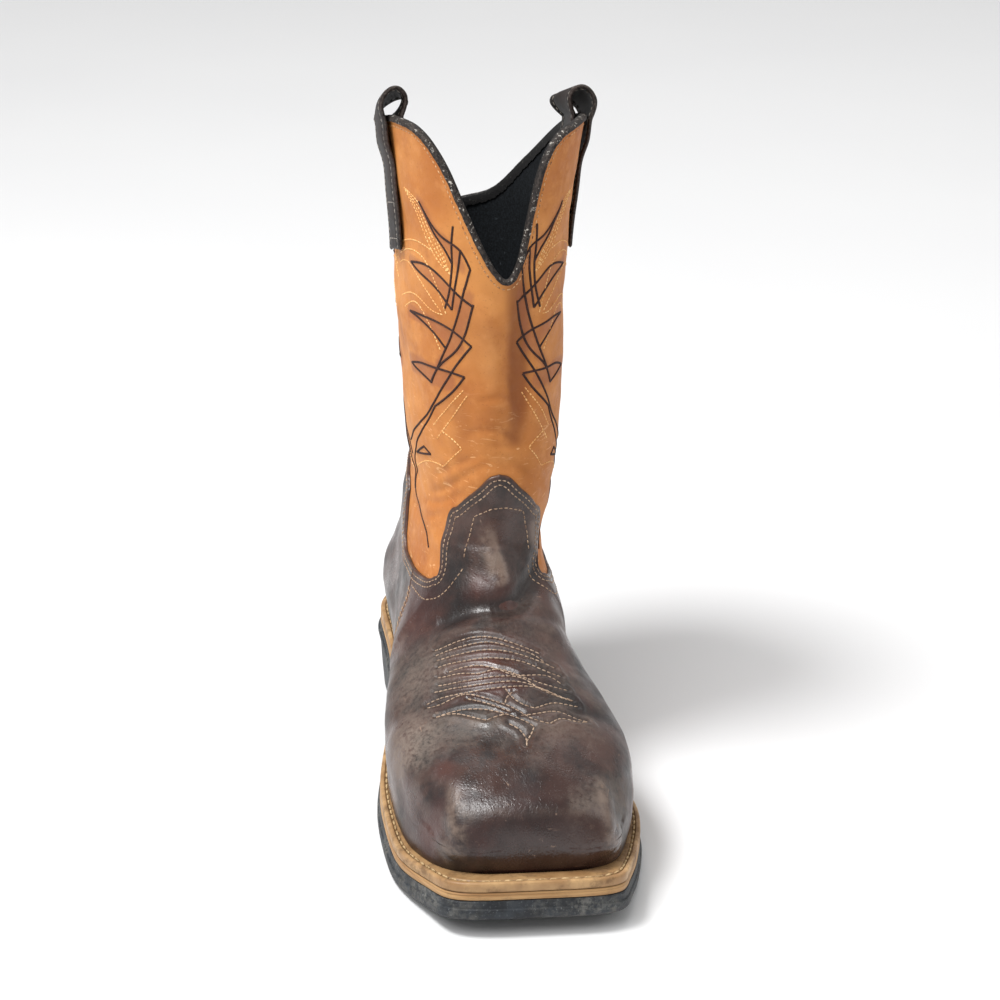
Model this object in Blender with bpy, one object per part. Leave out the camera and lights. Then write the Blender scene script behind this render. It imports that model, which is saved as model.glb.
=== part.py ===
"""A western work boot for a right foot: square toe, pull-on shaft with a scalloped collar, two pull straps.

Metres, +Z up. The toe points to -Y, the medial side of the foot is +X. The origin lies on the ground in the
middle of the boot. The upper is one surface, worked out as rings from the feather line, where upper and sole
meet, to the collar. Wall, vamp, heel counter, binding and straps are all cut from that one surface.
"""

from collections import namedtuple

import bmesh
import bpy
import numpy as np

# Lengths and widths of the sole
SOLE_LENGTH = 0.310
BALL_WIDTH = 0.123
TOE_ROUND = 0.024
TOE_SQUARENESS = 5.0
HEEL_ROUND = 0.044
HEEL_ROUNDNESS = 2.1

# Heights of the sole
TOE_SPRING = 0.0085
SPRING_ALONG = 0.20
SPRING_POWER = 1.5
HEEL_LIFT = 0.0265
LIFT_FROM = 0.34
LIFT_ALONG = 0.48
OUTSOLE_THICKNESS = 0.0100
MIDSOLE_THICKNESS = 0.0038
WELT_THICKNESS = 0.0056
INSOLE_ABOVE_WELT = 0.0020
OUTSOLE_FLARE = 0.0010
OUTSOLE_BEVEL = 0.0014
WELT_INSET = 0.0002
WELT_CORNER = 0.0006
MIDSOLE_CORNER = 0.0004

# Tread and heel block
TREAD_DEPTH = 0.0024
TREAD_SLOT = 0.0034
TREAD_PITCH = 0.0120
TREAD_SLOTS = 8
TREAD_RIM = 0.0110
TREAD_START = 0.10
BREAST_ALONG = 0.700
BREAST_SLANT = 0.0040
HEEL_TAPER = 0.0022

# Form of the upper
LEDGE = 0.0088
TOE_LEDGE_ROUND = 0.024
TOE_LEDGE_SQUARENESS = 4.0
INSTEP_RISE = 0.100
SHAFT_RISE = 0.206
SHAFT_WIDTH = 0.104
SIDE_BULGE = 0.0028
BULGE_HEIGHT = 0.060
SHAFT_POWER = 2.25
SHAFT_BLEND_LOW = 0.022
SHAFT_BLEND_HIGH = 0.090
FEATHER_FOLLOW = 0.16
LEDGE_FOLLOW = 0.16
FOOT_TOP = 0.65

# Walls, overlays and clearances
UPPER_WALL = 0.0026
OVERLAY_THICKNESS = 0.0014
BINDING_THICKNESS = 0.0012
BINDING_REACH = 0.0080
CLEARANCE = 0.0003
PLATE_CLEARANCE = 0.0005
STRAP_CLEARANCE = 0.0009
MITRE_LIMIT = 0.6

# Collar
COLLAR_DIP = 0.2595
COLLAR_SCALLOP = 0.0715

# Pull straps
STRAP_WIDTH = 0.030
STRAP_THICKNESS = 0.0020
STRAP_OUTER_LEG = 0.066
STRAP_INNER_LEG = 0.036
STRAP_LOOP_HEIGHT = 0.0142
STRAP_LOOP_SPREAD = 0.0026
STRAP_AROUND = 0.455

# Counts of faces
COLUMNS = 26
OVERLAY_ROWS = 14
SHAFT_ROWS = 8

SoleEdge = namedtuple("SoleEdge", "along lateral medial ledge")
SOLE_EDGES = (
    # along: share of SOLE_LENGTH from the toe; lateral, medial: shares of BALL_WIDTH; ledge: share of LEDGE
    SoleEdge(0.000, -0.328, 0.339, 1.00),
    SoleEdge(0.050, -0.368, 0.370, 1.00),
    SoleEdge(0.102, -0.424, 0.414, 0.98),
    SoleEdge(0.150, -0.466, 0.448, 0.90),
    SoleEdge(0.213, -0.489, 0.484, 0.78),
    SoleEdge(0.290, -0.498, 0.494, 0.70),
    SoleEdge(0.387, -0.491, 0.432, 0.62),
    SoleEdge(0.474, -0.455, 0.344, 0.54),
    SoleEdge(0.565, -0.406, 0.284, 0.50),
    SoleEdge(0.645, -0.379, 0.264, 0.50),
    SoleEdge(0.742, -0.374, 0.266, 0.52),
    SoleEdge(0.839, -0.381, 0.279, 0.56),
    SoleEdge(0.919, -0.383, 0.281, 0.60),
    SoleEdge(1.000, -0.379, 0.277, 0.62),
)

Dome = namedtuple("Dome", "along lateral medial")
DOMES = (
    # how full each side stands under the ridge: power of its superellipse
    Dome(0.00, 2.35, 2.30),
    Dome(0.20, 2.35, 2.20),
    Dome(0.29, 2.35, 1.95),
    Dome(0.36, 2.35, 1.95),
    Dome(0.46, 2.35, 2.55),
    Dome(0.60, 2.35, 2.35),
    Dome(1.00, 2.35, 2.35),
)

Axis = namedtuple("Axis", "along across")
AXIS = (
    # the line that the rings are measured from; across: share of BALL_WIDTH
    Axis(0.00, 0.005),
    Axis(0.20, 0.009),
    Axis(0.42, 0.006),
    Axis(0.54, 0.002),
    Axis(0.70, -0.004),
    Axis(0.85, -0.014),
    Axis(1.00, -0.028),
)

Shank = namedtuple("Shank", "along thickness")
SHANK = (
    # thickness: share of OUTSOLE_THICKNESS
    Shank(0.00, 1.00),
    Shank(0.34, 1.00),
    Shank(0.42, 1.12),
    Shank(0.50, 1.22),
    Shank(0.60, 1.15),
    Shank(0.68, 0.88),
    Shank(0.76, 0.66),
    Shank(0.82, 0.60),
    Shank(1.00, 0.60),
)

Ring = namedtuple("Ring", "up front front_rise back back_rise shaft width lean")
RINGS = (
    # up: place of the ring, feather 0 to top 1; front, back: shares of SOLE_LENGTH from the toe;
    # front_rise, back_rise: shares of INSTEP_RISE; shaft: share of SHAFT_RISE; width, lean: shares of SHAFT_WIDTH
    Ring(0.00, 0.050, 0.000, 0.9700, 0.000, 0.000, 0.700, 0.000),
    Ring(0.06, 0.042, 0.090, 0.9765, 0.050, 0.000, 0.700, 0.000),
    Ring(0.12, 0.045, 0.195, 0.9800, 0.100, 0.000, 0.700, 0.000),
    Ring(0.18, 0.063, 0.305, 0.9815, 0.145, 0.000, 0.700, 0.000),
    Ring(0.24, 0.100, 0.390, 0.9815, 0.185, 0.000, 0.700, 0.000),
    Ring(0.30, 0.161, 0.475, 0.9810, 0.230, 0.000, 0.700, 0.000),
    Ring(0.36, 0.229, 0.550, 0.9790, 0.280, 0.000, 0.695, 0.000),
    Ring(0.42, 0.300, 0.625, 0.9760, 0.340, 0.000, 0.690, 0.000),
    Ring(0.48, 0.368, 0.695, 0.9710, 0.410, 0.000, 0.680, 0.000),
    Ring(0.54, 0.432, 0.770, 0.9650, 0.495, 0.000, 0.640, -0.010),
    Ring(0.60, 0.484, 0.860, 0.9600, 0.600, 0.000, 0.620, -0.022),
    Ring(0.65, 0.512, 0.970, 0.9560, 0.725, 0.000, 0.628, -0.024),
    Ring(0.70, 0.524, 1.000, 0.9550, 0.775, 0.080, 0.662, 0.002),
    Ring(0.75, 0.530, 1.000, 0.9560, 0.790, 0.200, 0.722, 0.000),
    Ring(0.80, 0.531, 1.000, 0.9600, 0.805, 0.335, 0.752, -0.006),
    Ring(0.85, 0.530, 1.000, 0.9660, 0.815, 0.475, 0.780, -0.018),
    Ring(0.90, 0.528, 1.000, 0.9720, 0.822, 0.625, 0.792, -0.024),
    Ring(0.95, 0.526, 1.000, 0.9790, 0.824, 0.800, 0.850, -0.026),
    Ring(1.00, 0.524, 1.000, 0.9860, 0.824, 1.000, 0.960, -0.028),
)

OverlayEdge = namedtuple("OverlayEdge", "around instep shaft")
OVERLAY_EDGES = (
    # upper edge of vamp and counter; around: share of the way from front to back; height above the feather
    # of the instep as shares of INSTEP_RISE and SHAFT_RISE: tab, shoulder, side dip, counter
    OverlayEdge(0.000, 1.00, 0.167),
    OverlayEdge(0.030, 1.00, 0.159),
    OverlayEdge(0.063, 1.00, 0.130),
    OverlayEdge(0.100, 1.00, 0.102),
    OverlayEdge(0.133, 1.00, 0.074),
    OverlayEdge(0.156, 1.00, 0.056),
    OverlayEdge(0.164, 1.00, 0.010),
    OverlayEdge(0.178, 0.85, 0.000),
    OverlayEdge(0.218, 0.78, 0.000),
    OverlayEdge(0.292, 0.74, 0.000),
    OverlayEdge(0.390, 0.72, 0.000),
    OverlayEdge(0.470, 0.72, 0.000),
    OverlayEdge(0.515, 0.76, 0.000),
    OverlayEdge(0.540, 0.88, 0.000),
    OverlayEdge(0.560, 0.99, 0.000),
    OverlayEdge(0.600, 1.00, 0.018),
    OverlayEdge(0.700, 1.00, 0.043),
    OverlayEdge(0.850, 1.00, 0.057),
    OverlayEdge(1.000, 1.00, 0.062),
)

CollarEdge = namedtuple("CollarEdge", "around rise")
COLLAR_EDGES = (
    # around: lateral side below 0, medial side above; rise above the front dip: share of COLLAR_SCALLOP
    CollarEdge(-1.000, 0.035),
    CollarEdge(-0.900, 0.120),
    CollarEdge(-0.780, 0.400),
    CollarEdge(-0.650, 0.680),
    CollarEdge(-0.550, 0.830),
    CollarEdge(-0.450, 0.915),
    CollarEdge(-0.360, 0.970),
    CollarEdge(-0.280, 0.985),
    CollarEdge(-0.220, 0.945),
    CollarEdge(-0.180, 0.860),
    CollarEdge(-0.140, 0.720),
    CollarEdge(-0.100, 0.510),
    CollarEdge(-0.050, 0.245),
    CollarEdge(-0.010, 0.070),
    CollarEdge(0.022, 0.000),
    CollarEdge(0.045, 0.060),
    CollarEdge(0.062, 0.190),
    CollarEdge(0.080, 0.430),
    CollarEdge(0.100, 0.680),
    CollarEdge(0.125, 0.850),
    CollarEdge(0.160, 0.950),
    CollarEdge(0.210, 0.990),
    CollarEdge(0.280, 1.000),
    CollarEdge(0.360, 0.970),
    CollarEdge(0.450, 0.915),
    CollarEdge(0.550, 0.830),
    CollarEdge(0.650, 0.680),
    CollarEdge(0.780, 0.400),
    CollarEdge(0.900, 0.120),
    CollarEdge(1.000, 0.035),
)

SEAM_COLUMN = 14
SEAM_AROUND = 0.36
SEAM_ON_FEATHER = 0.64

FINISHES = {
    # name: colour, roughness
    "shaft_leather": ((0.62, 0.30, 0.10), 0.55),
    "vamp_leather": ((0.075, 0.045, 0.035), 0.45),
    "binding_leather": ((0.030, 0.027, 0.027), 0.60),
    "welt_rubber": ((0.42, 0.27, 0.14), 0.70),
    "midsole_rubber": ((0.50, 0.34, 0.17), 0.70),
    "outsole_rubber": ((0.012, 0.015, 0.019), 0.80),
    "insole_cloth": ((0.030, 0.030, 0.032), 0.90),
}


def column(table, name):
    return np.array([getattr(row, name) for row in table])


def steady(xs, ys):
    """Smooth curve through a short table that never swings past its rows, as a function of arrays."""
    xs, ys = np.asarray(xs, float), np.asarray(ys, float)
    gap = np.diff(xs)
    rise = np.diff(ys) / gap
    slope = np.concatenate([rise[:1], (rise[:-1] + rise[1:]) / 2, rise[-1:]])
    limit = 3 * np.minimum(np.abs(np.append(rise, rise[-1])), np.abs(np.append(rise[0], rise)))
    turns = np.append(rise, rise[-1]) * np.append(rise[0], rise) <= 0
    slope = np.where(turns, 0.0, np.sign(slope) * np.minimum(np.abs(slope), limit))

    def at(x):
        x = np.clip(x, xs[0], xs[-1])
        i = np.clip(np.searchsorted(xs, x, side="right") - 1, 0, len(gap) - 1)
        s = (x - xs[i]) / gap[i]
        start = ys[i] * (1 + 2 * s) * (1 - s) ** 2 + slope[i] * gap[i] * s * (1 - s) ** 2
        end = ys[i + 1] * s * s * (3 - 2 * s) - slope[i + 1] * gap[i] * s * s * (1 - s)
        return start + end

    return at


def bent(xs, ys):
    """Natural cubic spline through a short table, for lines that must run without a break in their bend."""
    xs, ys = np.asarray(xs, float), np.asarray(ys, float)
    gap = np.diff(xs)
    rise = np.diff(ys) / gap
    system = np.eye(len(xs))
    pull = np.zeros(len(xs))
    for i in range(1, len(xs) - 1):
        system[i, i - 1 : i + 2] = gap[i - 1], 2 * (gap[i - 1] + gap[i]), gap[i]
        pull[i] = 6 * (rise[i] - rise[i - 1])
    bend = np.linalg.solve(system, pull)

    def at(x):
        x = np.clip(x, xs[0], xs[-1])
        i = np.clip(np.searchsorted(xs, x, side="right") - 1, 0, len(gap) - 1)
        a, b = (xs[i + 1] - x) / gap[i], (x - xs[i]) / gap[i]
        return a * ys[i] + b * ys[i + 1] + ((a**3 - a) * bend[i] + (b**3 - b) * bend[i + 1]) * gap[i] ** 2 / 6

    return at


def ease(share):
    share = np.clip(share, 0, 1)
    return share * share * (3 - 2 * share)


def y_of(along):
    return (np.asarray(along) - 0.5) * SOLE_LENGTH


def along_of(y):
    return np.asarray(y) / SOLE_LENGTH + 0.5


EDGE = {
    -1: bent(column(SOLE_EDGES, "along"), column(SOLE_EDGES, "lateral") * BALL_WIDTH),
    1: bent(column(SOLE_EDGES, "along"), column(SOLE_EDGES, "medial") * BALL_WIDTH),
}
LEDGE_AT = bent(column(SOLE_EDGES, "along"), column(SOLE_EDGES, "ledge") * LEDGE)
DOME_AT = {
    -1: steady(column(DOMES, "along"), column(DOMES, "lateral")),
    1: steady(column(DOMES, "along"), column(DOMES, "medial")),
}
AXIS_AT = bent(column(AXIS, "along"), column(AXIS, "across") * BALL_WIDTH)
SHANK_AT = steady(column(SHANK, "along"), column(SHANK, "thickness") * OUTSOLE_THICKNESS)


def axis(y):
    return AXIS_AT(along_of(y))


def outsole_top(y):
    """The sole rises to the toe by its spring and to the heel by its lift; the ball is level."""
    along = along_of(y)
    spring = np.clip(1 - along / SPRING_ALONG, 0, 1) ** SPRING_POWER
    lift = ease((along - LIFT_FROM) / LIFT_ALONG)
    return OUTSOLE_THICKNESS + TOE_SPRING * spring + HEEL_LIFT * lift


def outsole_under(y):
    return outsole_top(y) - SHANK_AT(along_of(y))


def feather(y):
    """Height of the line where the upper meets the welt."""
    return outsole_top(y) + MIDSOLE_THICKNESS + WELT_THICKNESS


def rounded(distance, length, power):
    """Share of the full width at a distance from a rounded end: a superellipse quarter."""
    left = 1 - np.clip(distance / length, 0, 1)
    return (1 - left**power) ** (1 / power)


def sole_side(side, y, front, back, inset):
    """Distance of the sole's edge from the axis on one side, inset by a margin."""
    full = side * (EDGE[side](along_of(y)) - axis(y)) - inset
    toe = rounded(y - front, TOE_ROUND, TOE_SQUARENESS)
    heel = rounded(back - y, HEEL_ROUND, HEEL_ROUNDNESS)
    return full * toe * heel


def column_shares():
    """Shares of the way from front to back on the shaft: the vamp's columns, then the counter's."""
    vamp = np.linspace(0, SEAM_AROUND, SEAM_COLUMN + 1)
    counter = np.linspace(SEAM_AROUND, 1, COLUMNS - SEAM_COLUMN + 1)
    return np.concatenate([vamp, counter[1:]])


def foot_shares(shares, up):
    """The same columns on a ring of the foot, where the vamp takes up more of the way to the back."""
    middle = SEAM_AROUND / 2
    foot = steady((0, 0.15 * SEAM_AROUND, middle, SEAM_AROUND, 0.6, 1), (0, 0.08, 0.22, SEAM_ON_FEATHER, 0.82, 1))
    low = 1 - ease(up / FOOT_TOP)
    return shares * (1 - low) + foot(shares) * low


def half_loop(side, width, front, back, shares):
    """Points of one side of a loop, from its front tip to its back tip, at shares of its length."""
    turn = np.linspace(0, np.pi, 500)
    y = front + (back - front) * (1 - np.cos(turn)) / 2
    x = axis(y) + side * width(side, y)
    length = np.concatenate([[0], np.cumsum(np.hypot(np.diff(x), np.diff(y)))])
    wanted = shares * length[-1]
    return np.interp(wanted, length, x), np.interp(wanted, length, y)


def sole_loop(inset, height):
    """Closed loop round the sole: lateral side from toe to heel, then medial side back to the toe."""
    front, back = y_of(0) + inset, y_of(1) - inset
    shares = foot_shares(column_shares(), 0)

    def width(side, y):
        return sole_side(side, y, front, back, inset)

    lx, ly = half_loop(-1, width, front, back, shares)
    mx, my = half_loop(1, width, front, back, shares)
    x = np.concatenate([lx, mx[-2:0:-1]])
    y = np.concatenate([ly, my[-2:0:-1]])
    return np.stack([x, y, height(y)], axis=-1)


FRONT_Y = bent(column(RINGS, "up"), y_of(column(RINGS, "front")))
BACK_Y = bent(column(RINGS, "up"), y_of(column(RINGS, "back")))
FRONT_RISE = steady(column(RINGS, "up"), column(RINGS, "front_rise") * INSTEP_RISE)
BACK_RISE = steady(column(RINGS, "up"), column(RINGS, "back_rise") * INSTEP_RISE)
SHAFT_AT = steady(column(RINGS, "up"), column(RINGS, "shaft") * SHAFT_RISE)
WIDTH_AT = bent(column(RINGS, "up"), column(RINGS, "width") * SHAFT_WIDTH / 2)
LEAN_AT = bent(column(RINGS, "up"), column(RINGS, "lean") * SHAFT_WIDTH)


def front_point(up):
    y = FRONT_Y(up)
    return y, feather(y) + FRONT_RISE(up) + SHAFT_AT(up)


def back_point(up):
    y = BACK_Y(up)
    return y, feather(y) + BACK_RISE(up) + SHAFT_AT(up)


def ridge_height():
    """Height of the vamp's ridge over each place along the foot, past the toe's own front wall."""
    ups = np.linspace(0.06, 0.80, 300)
    y, z = front_point(ups)
    order = np.argsort(y)
    return y[order], np.maximum.accumulate(z[order])


RIDGE_Y, RIDGE_Z = ridge_height()
OPEN_ABOVE = 10.0


def foot_width(side, y, z, up, front):
    """Width of the foot at one height: the feather's width under a dome that closes at the ridge."""
    full = side * (EDGE[side](along_of(y)) - axis(y)) - LEDGE_AT(along_of(y))
    ridge = np.interp(y, RIDGE_Y, RIDGE_Z, left=RIDGE_Z[0], right=OPEN_ABOVE)
    height = z - feather(y)
    share = np.clip(height / np.maximum(ridge - feather(y), 1e-4), 0, 1)
    power = DOME_AT[side](along_of(y))
    dome = (1 - share**power) ** (1 / power)
    corner = rounded(y - front, TOE_LEDGE_ROUND, TOE_LEDGE_SQUARENESS)
    corner = 1 - (1 - corner) * np.clip(1 - up / LEDGE_FOLLOW, 0, 1)
    bulge = SIDE_BULGE * np.sin(np.pi * np.clip(height / BULGE_HEIGHT, 0, 1))
    return (full + bulge) * dome * corner


def ring_width(up):
    """Function of side and place that gives a ring's width: the foot's low down, the shaft's ellipse above."""
    front, back = FRONT_Y(up), BACK_Y(up)

    def width(side, y):
        share = (y - front) / (back - front)
        z = feather(y) + FRONT_RISE(up) * (1 - share) + BACK_RISE(up) * share + SHAFT_AT(up)
        foot = foot_width(side, y, z, up, front) * rounded(back - y, HEEL_ROUND, HEEL_ROUNDNESS)
        shaft = WIDTH_AT(up) * (1 - np.abs(2 * share - 1) ** SHAFT_POWER) ** (1 / SHAFT_POWER)
        blend = ease((z - feather(y) - SHAFT_BLEND_LOW) / (SHAFT_BLEND_HIGH - SHAFT_BLEND_LOW))
        return foot * (1 - blend) + shaft * blend

    return width


def upper_form(rows, columns):
    """The upper's whole surface as a grid: [row, column] with around from -1 over the front 0 to 1."""
    ups = np.linspace(0, 1, rows)
    shares = np.linspace(0, 1, columns)
    grid = np.empty((rows, 2 * columns - 1, 3))
    for row, up in enumerate(ups):
        front, front_z = front_point(up)
        back, back_z = back_point(up)
        width = ring_width(up)
        placed = foot_shares(shares, up)
        lx, ly = half_loop(-1, width, front, back, placed)
        mx, my = half_loop(1, width, front, back, placed)
        x = np.concatenate([lx[::-1], mx[1:]]) + LEAN_AT(up)
        y = np.concatenate([ly[::-1], my[1:]])
        share = (y - front) / (back - front)
        level = front_z + (back_z - front_z) * share
        seated = feather(y) + FRONT_RISE(up) * (1 - share) + BACK_RISE(up) * share
        lift = ease(up / FEATHER_FOLLOW)
        grid[row] = np.stack([x, y, seated * (1 - lift) + level * lift], axis=-1)
    return grid


FORM_ROWS, FORM_COLUMNS = 161, 121
FORM = upper_form(FORM_ROWS, FORM_COLUMNS)


def on_form(values, around, up):
    """Value of a grid at around (-1 to 1, front 0) and up (0 to 1), with round the back joined."""
    around = (np.asarray(around) + 1) % 2 - 1
    c = (around + 1) / 2 * (2 * FORM_COLUMNS - 2)
    r = np.clip(up, 0, 1) * (FORM_ROWS - 1)
    c0 = np.clip(c.astype(int), 0, 2 * FORM_COLUMNS - 3)
    r0 = np.clip(r.astype(int), 0, FORM_ROWS - 2)
    fc, fr = (c - c0)[..., None], (r - r0)[..., None]
    low = values[r0, c0] * (1 - fc) + values[r0, c0 + 1] * fc
    high = values[r0 + 1, c0] * (1 - fc) + values[r0 + 1, c0 + 1] * fc
    return low * (1 - fr) + high * fr


def form_normals(grid):
    """Outward unit normals of the grid, joined across the back."""
    wide = np.concatenate([grid[:, -2:-1], grid, grid[:, 1:2]], axis=1)
    across = wide[:, 2:] - wide[:, :-2]
    upward = np.gradient(grid, axis=0)
    normal = np.cross(across, upward)
    return normal / np.linalg.norm(normal, axis=-1, keepdims=True)


NORMALS = form_normals(FORM)


def surface(around, up, off=0.0):
    """Point of the upper's surface, moved out along its normal."""
    around, up = np.broadcast_arrays(around, up)
    normal = on_form(NORMALS, around, up)
    normal = normal / np.linalg.norm(normal, axis=-1, keepdims=True)
    return on_form(FORM, around, up) + normal * np.asarray(off)[..., None]


def up_at(around, height):
    """How far up the form each column reaches a height."""
    ups = np.linspace(0, 1, 241)
    around, height = np.broadcast_arrays(around, height)
    z = on_form(FORM, around[..., None], np.broadcast_to(ups, around.shape + ups.shape))[..., 2]
    flat_z, flat_h = z.reshape(-1, len(ups)), height.reshape(-1)
    return np.array([np.interp(h, column_z, ups) for column_z, h in zip(flat_z, flat_h)]).reshape(around.shape)


def collar_height(around):
    """Scalloped collar: a narrow rounded dip in front, peaks in front of the straps, a wide dip behind."""
    rise = steady(column(COLLAR_EDGES, "around"), column(COLLAR_EDGES, "rise"))
    return COLLAR_DIP + COLLAR_SCALLOP * rise((np.asarray(around) + 1) % 2 - 1)


def overlay_height(around):
    """Upper edge of vamp and counter, above the feather at the instep."""
    instep = steady(column(OVERLAY_EDGES, "around"), column(OVERLAY_EDGES, "instep"))
    shaft = steady(column(OVERLAY_EDGES, "around"), column(OVERLAY_EDGES, "shaft"))
    base = feather(y_of(0.512))
    far = np.abs(around)
    return base + INSTEP_RISE * instep(far) + SHAFT_RISE * shaft(far)


def ring_columns():
    """Around values of the upper's columns: lateral side from the front to the back, then medial."""
    shares = column_shares()
    return np.concatenate([-shares, shares[-2:0:-1]])


AROUND = ring_columns()
EDGE_UP = up_at(AROUND, overlay_height(AROUND))
COLLAR_UP = up_at(AROUND, collar_height(AROUND))
BINDING_UP = up_at(AROUND, collar_height(AROUND) - BINDING_REACH)


def row_ups():
    """How far up each row of the upper lies: its rows follow the overlays' edge, then the collar."""
    low = np.linspace(0, 1, OVERLAY_ROWS + 1)[:, None] * EDGE_UP
    share = np.linspace(0, 1, SHAFT_ROWS + 1)[1:, None]
    high = EDGE_UP + (BINDING_UP - EDGE_UP) * share
    return np.concatenate([low, high, COLLAR_UP[None]])


UPS = row_ups()


def seated(points):
    """The same rows with the lowest one set down on the welt."""
    points[0, :, 2] = feather(points[0, :, 1]) + PLATE_CLEARANCE
    return points


def grid_points(off):
    return seated(surface(np.broadcast_to(AROUND, UPS.shape), UPS, off))


def shorter_diagonals(points):
    """Which facets of the ring grid are split from lower right to upper left, because that way is shorter."""
    right = np.roll(points, -1, axis=1)
    rising = np.linalg.norm(right[1:] - points[:-1], axis=-1)
    falling = np.linalg.norm(points[1:] - right[:-1], axis=-1)
    return falling < rising


TURNED = shorter_diagonals(grid_points(0.0))


def facet_normals(points):
    """Outward normals at the corners of a faceted ring grid, each long enough to move its facets out by one."""
    turned = TURNED[..., None]
    right = np.roll(points, -1, axis=1)
    corner, beside, across, over = points[:-1], right[:-1], right[1:], points[1:]
    lower = np.cross(np.where(turned, over, across) - corner, beside - corner)
    upper = np.cross(np.where(turned, beside, corner) - across, over - across)
    lower, upper = (facet / np.linalg.norm(facet, axis=-1, keepdims=True) for facet in (lower, upper))
    none = np.zeros_like(points[:1])

    def at_corner(*facets):
        return [np.concatenate([facet, none]) for facet in facets]

    def at_over(*facets):
        return [np.concatenate([none, facet]) for facet in facets]

    at_beside = [np.roll(facet, 1, axis=1) for facet in at_corner(lower, upper * turned)]
    at_across = [np.roll(facet, 1, axis=1) for facet in at_over(upper, lower * ~turned)]
    met = np.stack([*at_corner(lower, upper * ~turned), *at_beside, *at_across, *at_over(upper, lower * turned)])
    normal = met.sum(axis=0)
    normal /= np.linalg.norm(normal, axis=-1, keepdims=True)
    lean = (met * normal).sum(axis=-1)
    present = np.abs(met).sum(axis=-1) > 0
    return normal / np.where(present, lean, 1.0).min(axis=0).clip(MITRE_LIMIT)[..., None]


def make_object(name, points, faces, finish):
    """A named object from points and faces, closed, with its faces turned outwards."""
    mesh = bpy.data.meshes.new(name)
    mesh.from_pydata([tuple(point) for point in points], [], [tuple(face) for face in faces])
    shape = bmesh.new()
    shape.from_mesh(mesh)
    bmesh.ops.remove_doubles(shape, verts=shape.verts, dist=1e-6)
    bmesh.ops.triangulate(shape, faces=shape.faces)
    bmesh.ops.recalc_face_normals(shape, faces=shape.faces)
    shape.to_mesh(mesh)
    shape.free()
    mesh.shade_smooth()
    mesh.set_sharp_from_angle(angle=np.radians(35))
    made = bpy.data.objects.new(name, mesh)
    bpy.context.scene.collection.objects.link(made)
    made.data.materials.append(bpy.data.materials[finish])
    return made


def loft(layers, closed_rows=False, closed_columns=True, caps=None, turned=None):
    """Points and faces of a stack of loops. caps closes the first and last loop, side to side.

    Quads are split from lower left to upper right, or the other way where turned says so. Sheets with the
    same columns and the same split stay parallel.
    """
    rows, columns = layers.shape[:2]
    index = np.arange(rows * columns).reshape(rows, columns)
    below, above = index, np.roll(index, -1, axis=0)
    if not closed_rows:
        below, above = below[:-1], above[:-1]
    left = below if closed_columns else below[:, :-1]
    right = np.roll(below, -1, axis=1) if closed_columns else below[:, 1:]
    up_left = above if closed_columns else above[:, :-1]
    up_right = np.roll(above, -1, axis=1) if closed_columns else above[:, 1:]
    turned = np.zeros(left.shape, bool) if turned is None else turned
    lower = [left, right, np.where(turned, up_left, up_right)]
    upper = [np.where(turned, right, left), up_right, up_left]
    faces = np.concatenate([np.stack(half, axis=-1).reshape(-1, 3) for half in (lower, upper)]).tolist()
    if caps == "sides":
        half = columns // 2
        for loop in (index[0], index[-1]):
            lateral = loop[: half + 1]
            medial = np.concatenate([loop[:1], loop[: half - 1 : -1]])
            pairs = zip(lateral[:-1], lateral[1:], medial[1:], medial[:-1])
            faces += [list(dict.fromkeys(pair)) for pair in pairs]
    if caps == "ends":
        faces += [index[:, 0].tolist(), index[:, -1].tolist()]
    return layers.reshape(-1, 3), faces


def make_finishes():
    for name, (colour, roughness) in FINISHES.items():
        finish = bpy.data.materials.new(name)
        finish.use_nodes = True
        shader = finish.node_tree.nodes["Principled BSDF"]
        shader.inputs["Base Color"].default_value = (*colour, 1)
        shader.inputs["Roughness"].default_value = roughness


def make_plate(name, bottom, top, side_rows, finish):
    """A plate of the sole: side_rows holds (inset, share of the way from bottom to top)."""

    def layer(inset, share):
        return sole_loop(inset, lambda y: bottom(y) + (top(y) - bottom(y)) * share)

    layers = np.stack([layer(inset, share) for inset, share in side_rows])
    return make_object(name, *loft(layers, caps="sides"), finish)


def make_outsole():
    """Black rubber sole: an upper band, a stepped-out lower band, and tread slots under the forepart."""
    step = ((OUTSOLE_BEVEL, 0.0), (-OUTSOLE_FLARE, 0.14), (-OUTSOLE_FLARE, 0.56), (0.0, 0.64), (0.0, 1.0))
    outsole = make_plate("outsole", outsole_under, outsole_top, step, "outsole_rubber")
    first = y_of(TREAD_START)
    for number in range(TREAD_SLOTS):
        y = first + number * TREAD_PITCH
        left = axis(y) - sole_side(-1, y, y_of(0), y_of(1), TREAD_RIM)
        right = axis(y) + sole_side(1, y, y_of(0), y_of(1), TREAD_RIM)
        cut_slot(outsole, f"tread_slot_{number + 1}", (left, right), y, outsole_under(y) + TREAD_DEPTH)
    return outsole


def cut_slot(solid, name, across, y, roof):
    """A slot across the underside, cut from below up to the height of its roof."""
    bpy.ops.mesh.primitive_cube_add(size=1)
    cutter = bpy.context.object
    cutter.name = name
    floor = -TREAD_DEPTH
    cutter.location = ((across[0] + across[1]) / 2, y, (roof + floor) / 2)
    cutter.scale = (across[1] - across[0], TREAD_SLOT, roof - floor)
    cutter.hide_render = True
    cutter.display_type = "WIRE"
    cut = solid.modifiers.new(name, "BOOLEAN")
    cut.operation = "DIFFERENCE"
    cut.object = cutter


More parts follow.
